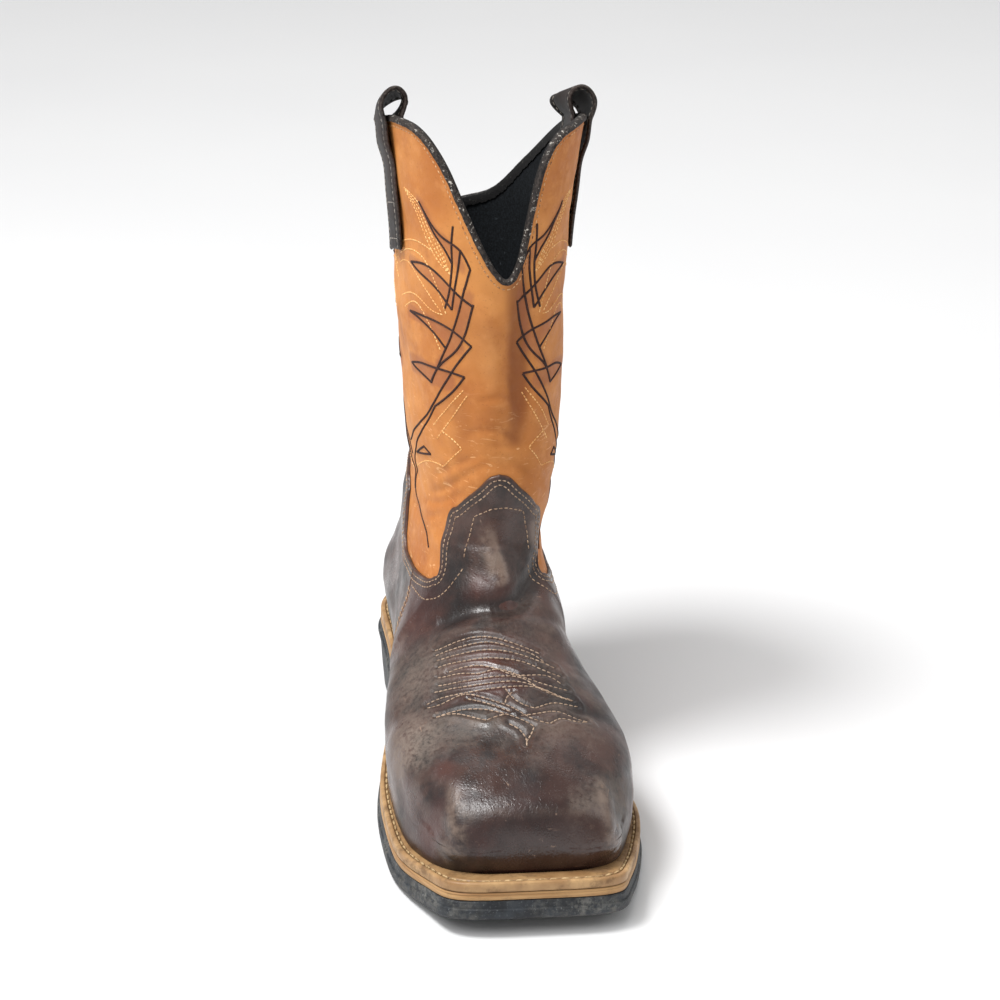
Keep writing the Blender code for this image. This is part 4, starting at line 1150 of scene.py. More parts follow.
def overlay_grid(around, level_rows, edge_rows, name, finish, replaces, more=None):
    """A sheet over the upper between its feather and the cut edge, with its edges rounded over.

    The lower rows keep their height. The upper ones share the way from the last of them to the cut edge.
    """
    start = level_rows[-1]
    rising = start + edge_rows[1:, None] * (edge_up(around) - start)
    ups = np.concatenate([np.repeat(level_rows[:, None], len(around), axis=1), rising])
    wide = np.broadcast_to(around, ups.shape)
    base = surface(wide, ups)
    to_top = np.linalg.norm(base - base[-1], axis=-1)
    to_side = np.minimum(*(np.linalg.norm(base - base[:, [end]], axis=-1) for end in (0, -1)))
    inward = np.minimum(to_top, to_side)
    crown = np.sqrt(np.clip(1 - (1 - np.clip(inward / EDGE_ROUND, 0, 1)) ** 2, 0.08, 1))
    outer = skin(wide, ups, CLEARANCE + OVERLAY_THICKNESS * crown, more)
    outer[0, :, 2] = feather(outer[0, :, 1]) + CLEARANCE
    inner_ups = np.concatenate([ups[INNER_ROWS], ups[-1:]])
    inner = skin(np.broadcast_to(around, inner_ups.shape), inner_ups, CLEARANCE * 0.6)
    inner[0, :, 2] = feather(inner[0, :, 1]) + CLEARANCE
    points, faces = fold_sheet(outer, inner, False)
    gap = thread_gap(base.reshape(-1, 3)).reshape(ups.shape)
    # groove: painted shade by the toe's threads; edge: the burnished cut edge; sunk: the folds' depth in
    # millimetres, for painted shade in the folds
    marks = {
        "groove": fold_marks(np.exp(-((gap / GROOVE_MARK) ** 2)), len(inner)),
        "edge": fold_marks(np.exp(-((inward / EDGE_MARK) ** 2)), len(inner)),
        "sunk": fold_marks(fold_depth(base.reshape(-1, 3)).reshape(ups.shape) * 1000, len(inner)),
    }
    return make_piece(name, points, faces, finish, (replaces,), marks, smooth=50)


# %% Vamp
def crowded(low, high, stations):
    """Values from low to high in pieces, each with its own end and count."""
    parts, start = [], low
    for end, count in stations:
        parts.append(np.linspace(start, end, count, endpoint=False))
        start = end
    return np.append(np.concatenate(parts), high)


# the rows close up towards the cut edge, which is rounded over
EDGE_ROWS = np.append(np.linspace(0, 0.955, 60), 1 - 0.045 * (1 - np.linspace(0, 1, 9)[1:]) ** 1.4)
VAMP_STEPS = ((-0.17, 46), (-0.15, 20), (0.15, 140), (0.17, 20), (SEAM_AROUND, 46))
VAMP_AROUND = crowded(-SEAM_AROUND, SEAM_AROUND, VAMP_STEPS)
LEVEL_TO = 0.515
VAMP_ROWS = crowded(0, LEVEL_TO, ((0.29, 56), (LEVEL_TO, 118)))
overlay_grid(VAMP_AROUND, VAMP_ROWS, EDGE_ROWS, "vamp_skin", VAMP, "vamp", toe_pucker)

# %% Heel counter
COUNTER_END = 2 - SEAM_AROUND
COUNTER_AROUND = crowded(SEAM_AROUND, COUNTER_END, ((0.62, 60), (1.38, 120), (COUNTER_END, 60)))
COUNTER_ROWS = np.linspace(0, LEVEL_TO, 60)
overlay_grid(COUNTER_AROUND, COUNTER_ROWS, EDGE_ROWS, "counter_skin", VAMP, "heel_counter")

# %% [markdown]
# ## The shaft
# The shaft is one hollow wall from the welt to the collar. Its lower part hides under vamp and counter, so
# few rows are spent there. The pattern's dark bands are tinted with a mark on the points, and its cords come
# later as pieces of their own.

# %% Shaft pattern
DARK_LINES = (
    ((-248, 950), (-200, 938), (-151, 930), (-105, 924), (-77, 912)),
    ((-248, 950), (-212, 939), (-186, 931), (-155, 923), (-130, 914)),
    ((-126, 940), (-131, 928), (-130, 914)),
    ((-105, 925), (-108, 918), (-121, 896), (-130, 879)),
    ((-67, 886), (-79, 872), (-93, 859), (-133, 841), (-175, 830), (-223, 811)),
    ((-130, 914), (-137, 895), (-153, 879)),
    ((-321, 903), (-225, 907), (-164, 902), (-117, 893), (-66, 884)),
    ((-321, 903), (-250, 899), (-182, 892), (-130, 879)),
    ((-337, 862), (-257, 865), (-196, 865), (-132, 861), (-74, 850)),
    ((-337, 862), (-272, 861), (-202, 854), (-158, 844)),
    ((-357, 815), (-260, 823), (-197, 824), (-152, 824), (-99, 822)),
    ((-357, 815), (-271, 812), (-224, 809)),
    ((-74, 850), (-134, 827), (-179, 807), (-227, 788)),
    ((-99, 822), (-136, 808), (-215, 788)),
    ((-92, 898), (-112, 875), (-158, 844), (-224, 809)),
    ((-227, 788), (-257, 778), (-349, 756), (-455, 733)),
    ((-215, 788), (-275, 765), (-369, 737), (-425, 716), (-455, 694)),
    ((-77, 912), (-92, 897)),
    ((-293, 743), (-253, 739)),
    ((-253, 739), (-382, 728)),
    ((-382, 728), (-293, 743)),
)
# the lowest spur runs on the front panels only, because the counter covers its place behind
SPUR = ((-455, 694), (-425, 672), (-360, 658), (-301, 646), (-264, 618))
GOLD_LINES = (
    ((-330, 954), (-246, 948), (-191, 932), (-134, 906)),
    ((-330, 954), (-262, 940), (-212, 922), (-134, 906)),
    ((-437, 908), (-308, 920), (-242, 921), (-197, 919)),
    ((-422, 902), (-301, 913), (-225, 908), (-149, 874)),
    ((-444, 893), (-342, 901), (-250, 892), (-167, 875)),
    ((-409, 869), (-279, 879), (-202, 873), (-162, 873)),
    ((-380, 862), (-271, 872), (-219, 859), (-178, 841)),
    ((-212, 758), (-146, 783), (-92, 806)),
    ((-229, 769), (-170, 788), (-104, 810)),
    ((-187, 767), (-147, 762), (-116, 755)),
    ((-116, 755), (-153, 744), (-188, 733)),
    ((-406, 711), (-226, 733), (-188, 733)),
)
# between these two lines the leather is a darker, pinkish inlay
BANDS = (
    (DARK_LINES[4], DARK_LINES[14]),
    (DARK_LINES[0], DARK_LINES[1]),
    (DARK_LINES[6], DARK_LINES[7]),
    (DARK_LINES[8], DARK_LINES[9]),
    (DARK_LINES[10], DARK_LINES[11]),
)

# the medial front panel is a little narrower; the rear panels mirror the front ones about the strap
NARROWER, RAISED, LOWERED = 0.815, 2, 14
ABOUT_STRAP = 2000 * STRAP_AROUND
SEEN_BEHIND = 330
BAND_SOFT = 0.0014


def mirrored(path):
    """The same line on the other side of the shaft's front."""
    return tuple((-NARROWER * around, up + RAISED) for around, up in path)


def behind(path):
    """The same line on the panel behind the strap, mirrored about the strap."""
    return tuple((np.copysign(ABOUT_STRAP, around or -1) - around, up - LOWERED) for around, up in path)


def every_panel(lines):
    """A pattern's lines on the four panels of the shaft."""
    front = tuple(lines) + tuple(mirrored(path) for path in lines)
    return front + tuple(behind(path) for path in front if min(abs(a) for a, _ in path) < SEEN_BEHIND)


def band_tint(points):
    """1 inside the inlaid bands: near the line halfway between the band's two cords."""
    tint = np.zeros(len(points))
    for band in BANDS:
        for panel in (band, map(mirrored, band), map(behind, band), map(behind, map(mirrored, band))):
            a, b = (np.stack(stations_on(path, 20)) for path in panel)
            half = np.linalg.norm(surface(*a) - surface(*b), axis=-1).mean() / 2
            gap, _ = near_path(points, surface(*((a + b) / 2)))
            tint = np.maximum(tint, 1 - ease((gap - half * 0.75) / BAND_SOFT))
    return tint


# %% Shaft
DRAWN_BACK, SHAFT_IN = 0.0010, 0.0015
SHAFT_AROUND = np.linspace(-1, 1, 361)[:-1]
SHAFT_ROWS = crowded(0, 1, ((0.5, 26), (0.95, 190), (1, 14)))
shaft_ups = SHAFT_ROWS[:, None] * collar_up(SHAFT_AROUND)
shaft_wide = np.broadcast_to(SHAFT_AROUND, shaft_ups.shape)
# under the overlays the wall draws back a little, so that it never shows through them
hidden = ease((edge_up(SHAFT_AROUND) - shaft_ups - 0.006) / 0.02)
shaft_outer = skin(shaft_wide, shaft_ups, -DRAWN_BACK * hidden)
shaft_base = surface(shaft_wide, shaft_ups).reshape(-1, 3)
inner_ups = np.concatenate([shaft_ups[::6], shaft_ups[-1:]])
shaft_inner = skin(SHAFT_AROUND, inner_ups, -SHAFT_IN)
points, faces = fold_sheet(shaft_outer, shaft_inner, True)
# sunk: the folds' depth in millimetres, painted as shade in the folds and paler ridges; tint: the inlaid
# bands
shaft_marks = {
    "sunk": fold_marks(fold_depth(shaft_base).reshape(shaft_ups.shape) * 1000, len(shaft_inner)),
    "tint": fold_marks(band_tint(shaft_base).reshape(shaft_ups.shape), len(shaft_inner)),
}
make_piece("shaft_skin", points, faces, SHAFT, ("upper",), shaft_marks)

# %% Lining
LINING_OUT, LINING_IN = 0.0017, 0.0025
lining_around = np.linspace(-1, 1, 181)[:-1]
lining_ups = np.linspace(0, 1, 90)[:, None] * collar_up(lining_around)
lining_faces = (skin(lining_around, lining_ups, -depth) for depth in (LINING_OUT, LINING_IN))
points, faces = fold_sheet(*lining_faces, True)
make_piece("lining", points, faces, LINING)

# %% [markdown]
# ## Collar binding
# A narrow strip folded over the raw edge keeps it from stretching. In section it is a hairpin, here a path
# of eighteen stations from the outside over the top to the inside. Its edge is frayed, so the reach varies.

# %% Binding
BINDING_OUT, BINDING_IN = 0.0018, 0.0045
HAIRPIN = np.array([
    # across the wall and up from the collar, in metres
    (0.0003, -BINDING_OUT), (0.0008, -BINDING_OUT + 0.0001), (0.0010, -0.0014), (0.0010, -0.0007),
    (0.0008, 0.0001), (0.0002, 0.0006), (-0.0011, 0.0008), (-0.0024, 0.0006), (-0.0031, 0.0001),
    (-0.0033, -0.0008), (-0.0033, -0.0026), (-0.0032, -BINDING_IN), (-0.0027, -BINDING_IN),
    (-0.0026, -0.0026), (-0.0025, -0.0001), (-0.0011, 0.0003), (0.0002, -0.0002), (0.0003, -0.0014),
])
binding_around = np.linspace(-1, 1, 901)[:-1]
collar = collar_up(binding_around)
collar_points = skin(binding_around, collar)
collar_out = on_form(NORMALS, binding_around, collar)
collar_on = unit(np.roll(collar_points, -1, axis=0) - np.roll(collar_points, 1, axis=0))
collar_rise = unit(np.cross(collar_out, collar_on))
ragged = 1 + 0.05 * np.sin(binding_around * 211) + 0.04 * np.sin(binding_around * 517 + 1)
ring = (
    collar_points[None]
    + HAIRPIN[:, 0, None, None] * collar_out[None]
    + HAIRPIN[:, 1, None, None] * collar_rise[None] * ragged[None, :, None]
)
quads, _ = grid_faces(len(ring), ring.shape[1], True, True)
# share of each station that lies inside the collar, where the strip gets painted shade
inside = np.repeat(ease((-0.0006 - HAIRPIN[:, 0]) / 0.0022), ring.shape[1])
faces = quads[:, ::-1].tolist()
make_piece("binding_skin", ring, faces, BINDING, ("collar_binding",), {"inside": inside})

# %% [markdown]
# ## Stitches
# A real seam shows as a row of short bumps with dark gaps. Modelling each as a curve would cost too much, so
# a stitch here is a capsule of five rings with six sides, laid along the line and sunk a little into the
# leather. All the stitches of one thread are one mesh, worked out in one go.

# %% Stitch maker
RING_SHARE = np.array([0.0, 0.16, 0.5, 0.84, 1.0])
RING_WIDTH = np.array([0.25, 0.85, 1.0, 0.85, 0.25])
SIDES = np.linspace(0, 2 * np.pi, 7)[:-1]


def stitches(name, lines, finish, pitch, length, radius, sink=0.25):
    """Capsules along lines. lines: (points, outward directions); a capsule's rings taper towards its ends."""
    starts, ends, outs = [], [], []
    for line, out in lines:
        way = walked(line)
        count = max(int(way[-1] / pitch), 1)
        step = way[-1] / count
        begin = (np.arange(count) + 0.5) * step - length * step / 2
        end = begin + length * step
        middle = (begin + end) / 2

        def at(where, values):
            return np.stack([np.interp(where, way, values[:, axis]) for axis in range(3)], axis=-1)

        starts.append(at(begin, line))
        ends.append(at(end, line))
        outs.append(at(middle, out))
    start, end, out = (np.concatenate(part) for part in (starts, ends, outs))
    along = end - start
    along_unit = unit(along)
    out = unit(out - (out * along_unit).sum(-1, keepdims=True) * along_unit)
    side = np.cross(along_unit, out)
    centre = start[:, None] + along[:, None] * RING_SHARE[None, :, None]
    centre = centre + out[:, None] * (radius * (RING_WIDTH - 0.6) * 0.5 - radius * sink)[None, :, None]
    cosine, sine = np.cos(SIDES)[:, None], np.sin(SIDES)[:, None]
    turn = cosine * out[:, None, None] + sine * side[:, None, None]
    points = centre[:, :, None] + radius * RING_WIDTH[None, :, None, None] * turn
    rings = len(RING_SHARE)
    quads, index = grid_faces(rings, len(SIDES), False, True)
    each = rings * len(SIDES)
    shift = (np.arange(len(start)) * each)[:, None, None]
    all_quads = (quads[None, :, ::-1] + shift).reshape(-1, 4)
    caps = np.stack([index[0], index[-1, ::-1]])
    all_caps = (caps[None] + shift).reshape(-1, len(SIDES))
    return make_piece(name, points, all_quads.tolist() + all_caps.tolist(), finish, smooth=0)


def cords(name, lines, finish, half_width, height):
    """Flat cords along lines: an open line's section is a low dome of five points, carried along it."""
    dome = np.array([(-1.0, -0.6), (-0.75, 0.55), (0.0, 1.0), (0.75, 0.55), (1.0, -0.6)])
    points, faces, first = [], [], 0
    for line, out in lines:
        side = unit(np.cross(unit(np.gradient(line, axis=0)), out))
        grid = line[:, None] + dome[:, :1] * half_width * side[:, None] + dome[:, 1:] * height * out[:, None]
        quads, index = grid_faces(len(line), len(dome), False, True)
        points.append(grid.reshape(-1, 3))
        faces += (quads[:, ::-1] + first).tolist()
        faces += [(index[0] + first).tolist(), (index[-1, ::-1] + first).tolist()]
        first += grid.size // 3
    return make_piece(name, np.concatenate(points), faces, finish, smooth=0)


# %% Toe and flank threads
toe_lines = [skin_line(path, 40, ON_VAMP, True, toe_pucker) for path in TOE_ROWS + TOE_LEAVES]
stitches("toe_stitches", toe_lines, VAMP_THREAD, 0.0026, 0.94, 0.00044)

# %% [markdown]
# The vamp's edge is sewn with two rows, and a box of stitches crosses the tab. A seam parallel to an edge is
# found from the edge itself: the same columns, a fixed way down the surface.


# %% Edge seams
def below_edge(edge, around, drop, off, more=None):
    """A line that runs a fixed length below a cut edge, found in the surface across the edge."""
    up = edge(around)
    base = surface(around, up)
    down = unit(np.cross(unit(np.gradient(base, axis=0)), on_form(NORMALS, around, up)))
    reach = 0.0005
    d_around = (surface(around + reach, up) - surface(around - reach, up)) / (2 * reach)
    d_up = (surface(around, up + reach) - surface(around, up - reach)) / (2 * reach)
    gram = np.stack([(d_around**2).sum(-1), (d_around * d_up).sum(-1), (d_up**2).sum(-1)])
    want = np.stack([(down * d_around).sum(-1), (down * d_up).sum(-1)]) * drop
    det = gram[0] * gram[2] - gram[1] ** 2
    new_around = around + (gram[2] * want[0] - gram[1] * want[1]) / det
    new_up = up + (gram[0] * want[1] - gram[1] * want[0]) / det
    return skin(new_around, new_up, off, more), on_form(NORMALS, new_around, new_up)


def even_along(edge, low, high, count):
    """Columns between two places whose points on an edge are evenly spaced."""
    fine = np.linspace(low, high, 1500)
    way = walked(surface(fine, edge(fine)))
    return np.interp(np.linspace(0, way[-1], count), way, fine)


SEAM_DROPS = (0.0024, 0.0050)
edge_columns = even_along(edge_up, -0.355, 0.355, 420)
counter_columns = even_along(edge_up, 0.365, 1.635, 420)
SIDE_SEAMS = (-372, -366, -354, 354, 366, 372)
# stations of the box on the tab, in thousandths like every path
tab_box = ((-81, 629), (-76, 655), (-68, 690), (-22, 699), (22, 700), (76, 694), (100, 668), (115, 636))
edge_lines = [
    *(below_edge(edge_up, edge_columns, drop, ON_VAMP) for drop in SEAM_DROPS),
    *(below_edge(edge_up, counter_columns, drop, ON_VAMP) for drop in SEAM_DROPS),
    skin_line(tab_box, 90, ON_VAMP, False),
    *(skin_line(((a, 30), (a, 200), (a, 400), (a, 500)), 60, ON_VAMP) for a in SIDE_SEAMS),
    skin_line(((-350, 512), (-269, 517), (-189, 545), (-119, 588), (-85, 614)), 90, ON_VAMP),
    skin_line(((350, 512), (269, 517), (200, 545), (140, 588), (115, 614)), 90, ON_VAMP),
]
stitches("edge_stitches", edge_lines, SEAM_THREAD, 0.0026, 0.78, 0.00036)

# %% Collar topstitch
collar_columns = even_along(collar_up, -1, 1, 900)
collar_lines = [below_edge(collar_up, collar_columns, BINDING_OUT + 0.0022, 0.0)]
stitches("collar_stitches", collar_lines, TAN_THREAD, 0.0026, 0.72, 0.00034)

# %% Flames of the shaft
dark_cords = [skin_line(path, 40, 0.0001) for path in every_panel(DARK_LINES) + (SPUR, mirrored(SPUR))]
cords("flame_cords", dark_cords, PIPING, 0.00062, 0.00032)
# the topmost spear is filled with two more rows between its outlines
spear = np.stack([np.stack(stations_on(path, 12), axis=-1) for path in GOLD_LINES[:2]]) * 1000
filling = tuple(tuple(map(tuple, spear[0] + (spear[1] - spear[0]) * share)) for share in (0.33, 0.67))
gold_lines = [skin_line(path, 60, 0.0) for path in every_panel(GOLD_LINES + filling)]
stitches("flame_stitches", gold_lines, GOLD_THREAD, 0.0019, 0.84, 0.00036)


# %% [markdown]
# ## Pull straps
# Each strap is a strip of dark leather that is sewn to the shaft, stands up over the collar as a loop and
# ends inside. A strip bent by hand would be guesswork, so its middle line runs through the same stations as
# the solid strap, and a section with rounded, frayed edges is carried along it.

# %% Straps
# how far the loop's rear edge sags: inwards, back and down
LEAN_IN, LEAN_BACK, LEAN_DOWN, LEAN_POWER = 0.0075, 0.0010, 0.0045, 1.3
SIDE_ROUND, END_ROUND = 0.0012, 0.0010
# the sewn channel along both edges: distance from the edge, width and depth
CHANNEL_AWAY, CHANNEL_WIDTH, CHANNEL_DEPTH = 0.0046, 0.0011, 0.00035
FRAY_WIDTH = 0.0014
FOOT_AWAY, FOOT_WIDTH = 0.012, 0.009


def strap_stations():
    """Stations of a strap from its outer foot over the loop to its inner foot: (drop, rise, off)."""
    clear = 2 * CLEARANCE + BINDING_THICKNESS
    middle = -UPPER_WALL / 2
    outer = clear + STRAP_CLEARANCE / 2 + STRAP_THICKNESS / 2
    near = STRAP_CLEARANCE + STRAP_THICKNESS / 2
    reach = outer - middle + STRAP_LOOP_SPREAD
    rows = []
    for share in (1.0, 0.75, 0.5, 0.3, 0.18):
        drop = STRAP_OUTER_LEG * share
        hug = ease((drop - 1.5 * BINDING_REACH) / BINDING_REACH)
        rows.append((drop, 0.0, outer + (near - outer) * hug))
    rows.append((0.0, 0.0, outer))
    for turn in np.linspace(0.18, 0.82, 7) * np.pi:
        rows.append((0.0, STRAP_LOOP_HEIGHT * np.sin(turn) ** 0.8, middle + reach * np.cos(turn)))
    inner = -UPPER_WALL - clear - CLEARANCE - STRAP_THICKNESS / 2
    rows.append((0.0, 0.0, inner))
    rows += [(STRAP_INNER_LEG * share, 0.0, inner) for share in (0.35, 0.7, 1.0)]
    return np.array(rows)


def strap_skin(side, name, replaced):
    """The strap's strip: 150 stations along and 33 across, bent over the collar as a loop."""
    stations = strap_stations()
    way = walked(stations)
    fine = np.linspace(0, way[-1], 150)
    drop, rise, off = (bent(way, stations[:, axis])(fine) for axis in range(3))
    rise, drop = np.maximum(rise, 0), np.maximum(drop, 0)
    across = np.linspace(-0.5, 0.5, 33)
    place = side * STRAP_AROUND
    step = place + np.array([0, 0.01])
    ring = surface(step, up_at(step, COLLAR_DIP))
    around = place + across * STRAP_WIDTH * 0.01 / np.linalg.norm(ring[1] - ring[0])
    top = collar_height(around)
    centre = [surface(around, up_at(around, top - d), o) + (0, 0, r) for d, r, o in zip(drop, rise, off)]
    # the loop leans: its rear edge sags inwards and down, as on a strap that has been pulled often
    rear = (side * across + 0.5)[None, :, None]
    lean = (rise / STRAP_LOOP_HEIGHT)[:, None, None]
    centre = np.stack(centre) + lean * rear**LEAN_POWER * np.array([-side * LEAN_IN, LEAN_BACK, -LEAN_DOWN])
    along = np.gradient(centre, axis=0)
    normal = unit(np.cross(np.gradient(centre, axis=1), along))
    to_side = (0.5 - np.abs(across)) * STRAP_WIDTH
    to_end = np.minimum(fine, way[-1] - fine)
    crown = np.minimum(np.clip(to_side / SIDE_ROUND, 0, 1), np.clip(to_end / END_ROUND, 0, 1)[:, None])
    crown = np.sqrt(1 - (1 - crown) ** 2 * 0.94)
    channel = np.exp(-(((to_side - CHANNEL_AWAY) / CHANNEL_WIDTH) ** 2)) * np.ones((len(fine), 1))
    thick = STRAP_THICKNESS / 2 * crown - CHANNEL_DEPTH * channel
    outer = centre + normal * thick[..., None]
    inner = centre - normal * (STRAP_THICKNESS / 2 * crown)[..., None]
    points, faces = fold_sheet(outer, inner, False)
    edge = np.exp(-((to_side / FRAY_WIDTH) ** 2)) * np.ones((len(fine), 1))
    foot = np.exp(-(((fine - FOOT_AWAY) / FOOT_WIDTH) ** 2))[:, None] * np.ones((1, len(across)))
    sunk = fold_marks(np.maximum(channel, foot * 0.9), len(inner))
    marks = {"edge": np.concatenate([edge, edge[::-1]]), "sunk": sunk}
    make_piece(name, points, faces, STRAP, (replaced,), marks, smooth=50)
    # seams: one near each edge on both faces, and two across the outer foot
    seams = []
    for column in (4, -5):
        seams.append((outer[:, column], normal[:, column]))
        seams.append((inner[::-1, column], -normal[::-1, column]))
    return seams + [(outer[row, 4:-4], normal[row, 4:-4]) for row in (6, 26)]


strap_seams = strap_skin(-1, "strap_lateral", "pull_strap_lateral")
strap_seams += strap_skin(1, "strap_medial", "pull_strap_medial")
stitches("strap_stitches", strap_seams, STRAP_THREAD, 0.0030, 0.66, 0.00030, 0.1)

# %% [markdown]
# ## Welt and sole
# Welt, midsole and outsole are moulded rubber. Each is a section carried round the sole's outline. A section
# is a short list of insets from the outline and shares of the layer's height, with its corners rounded.


# %% Carried sections
def carried(name, section, bottom, top, finish, replaces=()):
    """A closed ring: every station of the section gives one loop round the sole at its inset and height."""
    loops = []
    for inset, share, lift, _ in section:
        loop = sole_loop(inset, bottom)
        loop[:, 2] += (top(loop[:, 1]) - bottom(loop[:, 1])) * share + lift
        loops.append(loop)
    quads, _ = grid_faces(len(loops), len(loops[0]), True, True)
    # the last column of a section: how much painted shade its loop gets
    marks = {"groove": np.repeat([groove for *_, groove in section], len(loops[0]))}
    return make_piece(name, loops, quads.tolist(), finish, replaces, marks)


def above_sole(height):
    return lambda y: outsole_top(y) + height


WELT_SECTION = (
    # inset, share of the height, lift, groove: share of painted shade
    (0.0125, 0.0, 0.0, 0),
    (0.0007, 0.0, 0.0, 0),
    (0.0002, 0.0, 0.0004, 0.3),
    (0.0001, 0.25, 0.0, 0),
    (0.0000, 0.55, 0.0, 0),
    (0.0001, 0.80, 0.0, 0),
    (0.0003, 1.0, -0.0006, 0),
    (0.0007, 1.0, -0.0002, 0),
    (0.0013, 1.0, 0.0, 0),
    (0.0020, 1.0, 0.0, 0.2),
    (0.0024, 1.0, -0.0004, 0.8),
    (0.0029, 1.0, -0.0008, 1),
    (0.0034, 1.0, -0.0008, 1),
    (0.0039, 1.0, -0.0004, 0.8),
    (0.0043, 1.0, 0.0, 0.2),
    (0.0125, 1.0, 0.0, 0.6),
)
welt_bottom = above_sole(MIDSOLE_THICKNESS + PLATE_CLEARANCE)
carried("welt_ring", WELT_SECTION, welt_bottom, feather, WELT, ("welt",))

MIDSOLE_SECTION = (
    # the ring closes the solids' joint gaps above and below it
    # inset, share of the height, lift, groove: share of painted shade at the joints
    (0.016, 0.0, -0.0004, 0),
    (0.0010, 0.0, -0.0004, 0.6),
    (0.0003, 0.0, -0.0001, 0.4),
    (0.0000, 0.28, 0.0, 0),
    (0.0000, 0.62, 0.0, 0),
    (0.0002, 0.76, 0.0, 0.5),
    (0.0000, 0.88, 0.0, 0.0),
    (0.0004, 1.0, 0.0003, 0.5),
    (0.016, 1.0, 0.0003, 0),
)
midsole_from, midsole_to = above_sole(PLATE_CLEARANCE), above_sole(MIDSOLE_THICKNESS)
carried("midsole_ring", MIDSOLE_SECTION, midsole_from, midsole_to, MIDSOLE, ("midsole",))

OUTSOLE_SECTION = (
    # the moulded side: a bevel, a stepped-out band with rounded edges, and the upper band
    (0.0024, 0.0, 0.0002, 0),
    (0.0010, 0.0, 0.0002, 0),
    (-0.0004, 0.08, 0.0, 0),
    (-0.0011, 0.16, 0.0, 0),
    (-0.0012, 0.24, 0.0, 0),
    (-0.0012, 0.50, 0.0, 0),
    (-0.0010, 0.57, 0.0, 0),
    (-0.0004, 0.61, 0.0, 0),
    (-0.0002, 0.66, 0.0, 0),
    (-0.0002, 0.92, 0.0, 0),
    (0.0002, 0.99, 0.0, 0),
    (0.0030, 1.0, 0.0001, 0),
    (0.0030, 0.5, 0.0, 0),
)
carried("outsole_side", OUTSOLE_SECTION, outsole_under, outsole_top, OUTSOLE)


# %% Heel block
# inset and share of the height
HEEL_SECTION = ((0.0044, 0.0), (0.0030, 0.02), (0.0023, 0.07), (0.0010, 0.5), (0.0, 0.96), (0.0003, 1.0))
HEEL_COLUMNS = 90


def heel_block():
    """The block under the seat: the sole's edge from the breast round the back, at six heights."""
    breast = y_of(BREAST_ALONG)
    loops = []
    for inset, share in HEEL_SECTION:
        back = y_of(1) - inset
        start = breast + BREAST_SLANT * (1 - share)
        y = start + (back - start) * np.sin(np.linspace(0, np.pi / 2, HEEL_COLUMNS))
        close = rounded(back - y, HEEL_ROUND, HEEL_ROUNDNESS)
        left, right = ((side * (EDGE[side](along_of(y)) - axis(y)) - inset) * close for side in (-1, 1))
        x = np.concatenate([axis(y) - left, (axis(y) + right)[-2::-1]])
        loop_y = np.concatenate([y, y[-2::-1]])
        loops.append(np.stack([x, loop_y, (outsole_under(loop_y) - PLATE_CLEARANCE) * share], axis=-1))
    loops = np.stack(loops)
    quads, index = grid_faces(*loops.shape[:2], False, True)
    faces = quads[:, ::-1].tolist()
    for loop, turn in ((index[0], 1), (index[-1], -1)):
        for step in range(HEEL_COLUMNS - 1):
            quad = (loop[step], loop[step + 1], loop[-2 - step], loop[-1 - step])
            faces.append([int(corner) for corner in dict.fromkeys(quad)][::turn])
    return make_piece("heel_block", loops, faces, OUTSOLE, ("heel",))


heel_block()
for node, finish in (("outsole", OUTSOLE), ("insole", FOOTBED)):
    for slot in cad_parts[node].material_slots:
        slot.material = finish.material

# %% Welt stitches
welt_line = sole_loop(0.0032, feather)
welt_line = np.concatenate([welt_line, welt_line[:1]]) - (0, 0, 0.0004)
upwards = np.zeros_like(welt_line) + (0.0, 0.0, 1.0)
stitches("welt_stitches", [(welt_line, upwards)], WELT_THREAD, 0.0052, 0.80, 0.00062, 0.0)

# %% [markdown]
# ## Camera, floor and light
# The camera stands where the photograph was taken from: in front of the toe, about 1.4 m away and well above
# it. It is aimed at the boot's middle. A pale floor and large soft lights give the plain studio look.


# %% Camera
def looking(place, target):
    """Placement of a camera or light at a place, turned to a target."""
    turn = (target - place).to_track_quat("-Z", "Y").to_matrix().to_4x4()
    return Matrix.Translation(place) @ turn


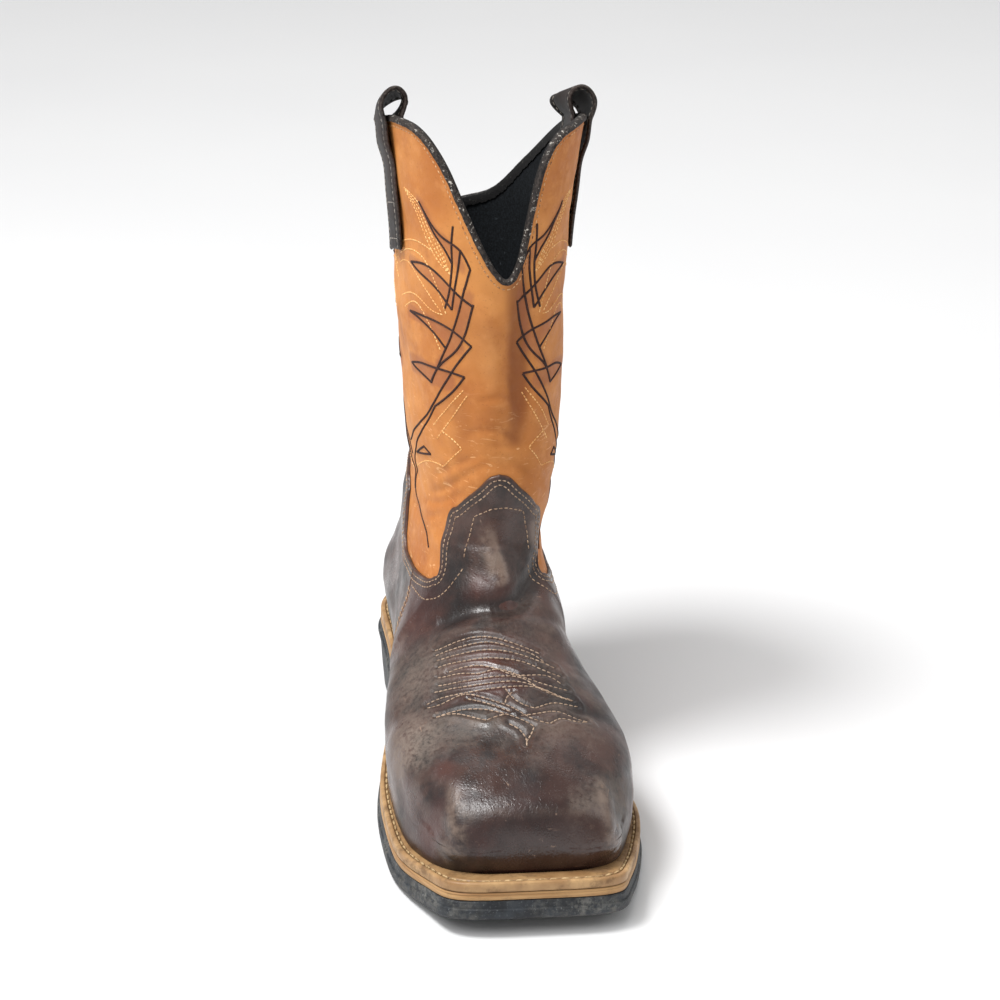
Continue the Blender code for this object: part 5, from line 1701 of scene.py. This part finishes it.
# focal length in pixels of a picture 1000 pixels wide, and how much larger the boot is shown than there
FOCAL_PIXELS, SHOWN_LARGER, ROLL = 2282, 1.24, 1.55
eye = Vector((-0.1754, -1.265, 0.662))
aim = Vector((0.0005, 0.004, 0.150))
camera_data = bpy.data.cameras.new("camera")
camera = added("camera", camera_data)
camera.matrix_world = looking(eye, aim) @ Matrix.Rotation(np.radians(ROLL), 4, "Z")
camera_data.sensor_width = 36
camera_data.lens = FOCAL_PIXELS * 36 / 1000 * SHOWN_LARGER
bpy.context.scene.camera = camera
bpy.context.scene.view_settings.view_transform = "Standard"


# %% Floor
FLOOR_HALF = 60.0


def wide_floor():
    """A flat floor so wide that its end lies on the horizon from every side."""
    pale = Finish("pale floor", 0.75, 0.2)
    pale.paint((231.11, 231.11, 231.75), (236.15, 236.15, 236.15), pale.noise(3))
    side = np.linspace(-FLOOR_HALF, FLOOR_HALF, 9)
    grid = np.stack(np.broadcast_arrays(side[None], side[:, None], 0.0), axis=-1)
    quads, _ = grid_faces(*grid.shape[:2], False, False)
    mesh = bpy.data.meshes.new("floor")
    mesh.from_pydata(grid.reshape(-1, 3).tolist(), [], quads.tolist())
    mesh.shade_smooth()
    mesh.materials.append(pale.material)
    added("floor", mesh)


wide_floor()


# %% Lights
def soft_light(name, place, size, power):
    data = bpy.data.lights.new(name, "AREA")
    data.shape, data.size, data.energy = "DISK", size, power
    added(name, data).matrix_world = looking(Vector(place), aim)


soft_light("key", (-0.62, -0.14, 1.45), 0.46, 19)
soft_light("fill", (1.7, -0.4, 1.3), 1.2, 4)
soft_light("rim", (0.5, 1.4, 1.5), 1.2, 4)
day = bpy.data.lights.new("day", "SUN")
day.energy, day.angle = 1.1, 0.7
added("day", day).matrix_world = looking(Vector((0, 0, 0)), Vector((0.5, 0.45, -1.0)))
world = bpy.data.worlds.new("studio")
world.use_nodes = True
background = world.node_tree.nodes["Background"].inputs
background["Color"].default_value, background["Strength"].default_value = (1, 1, 1, 1), 0.46
bpy.context.scene.world = world
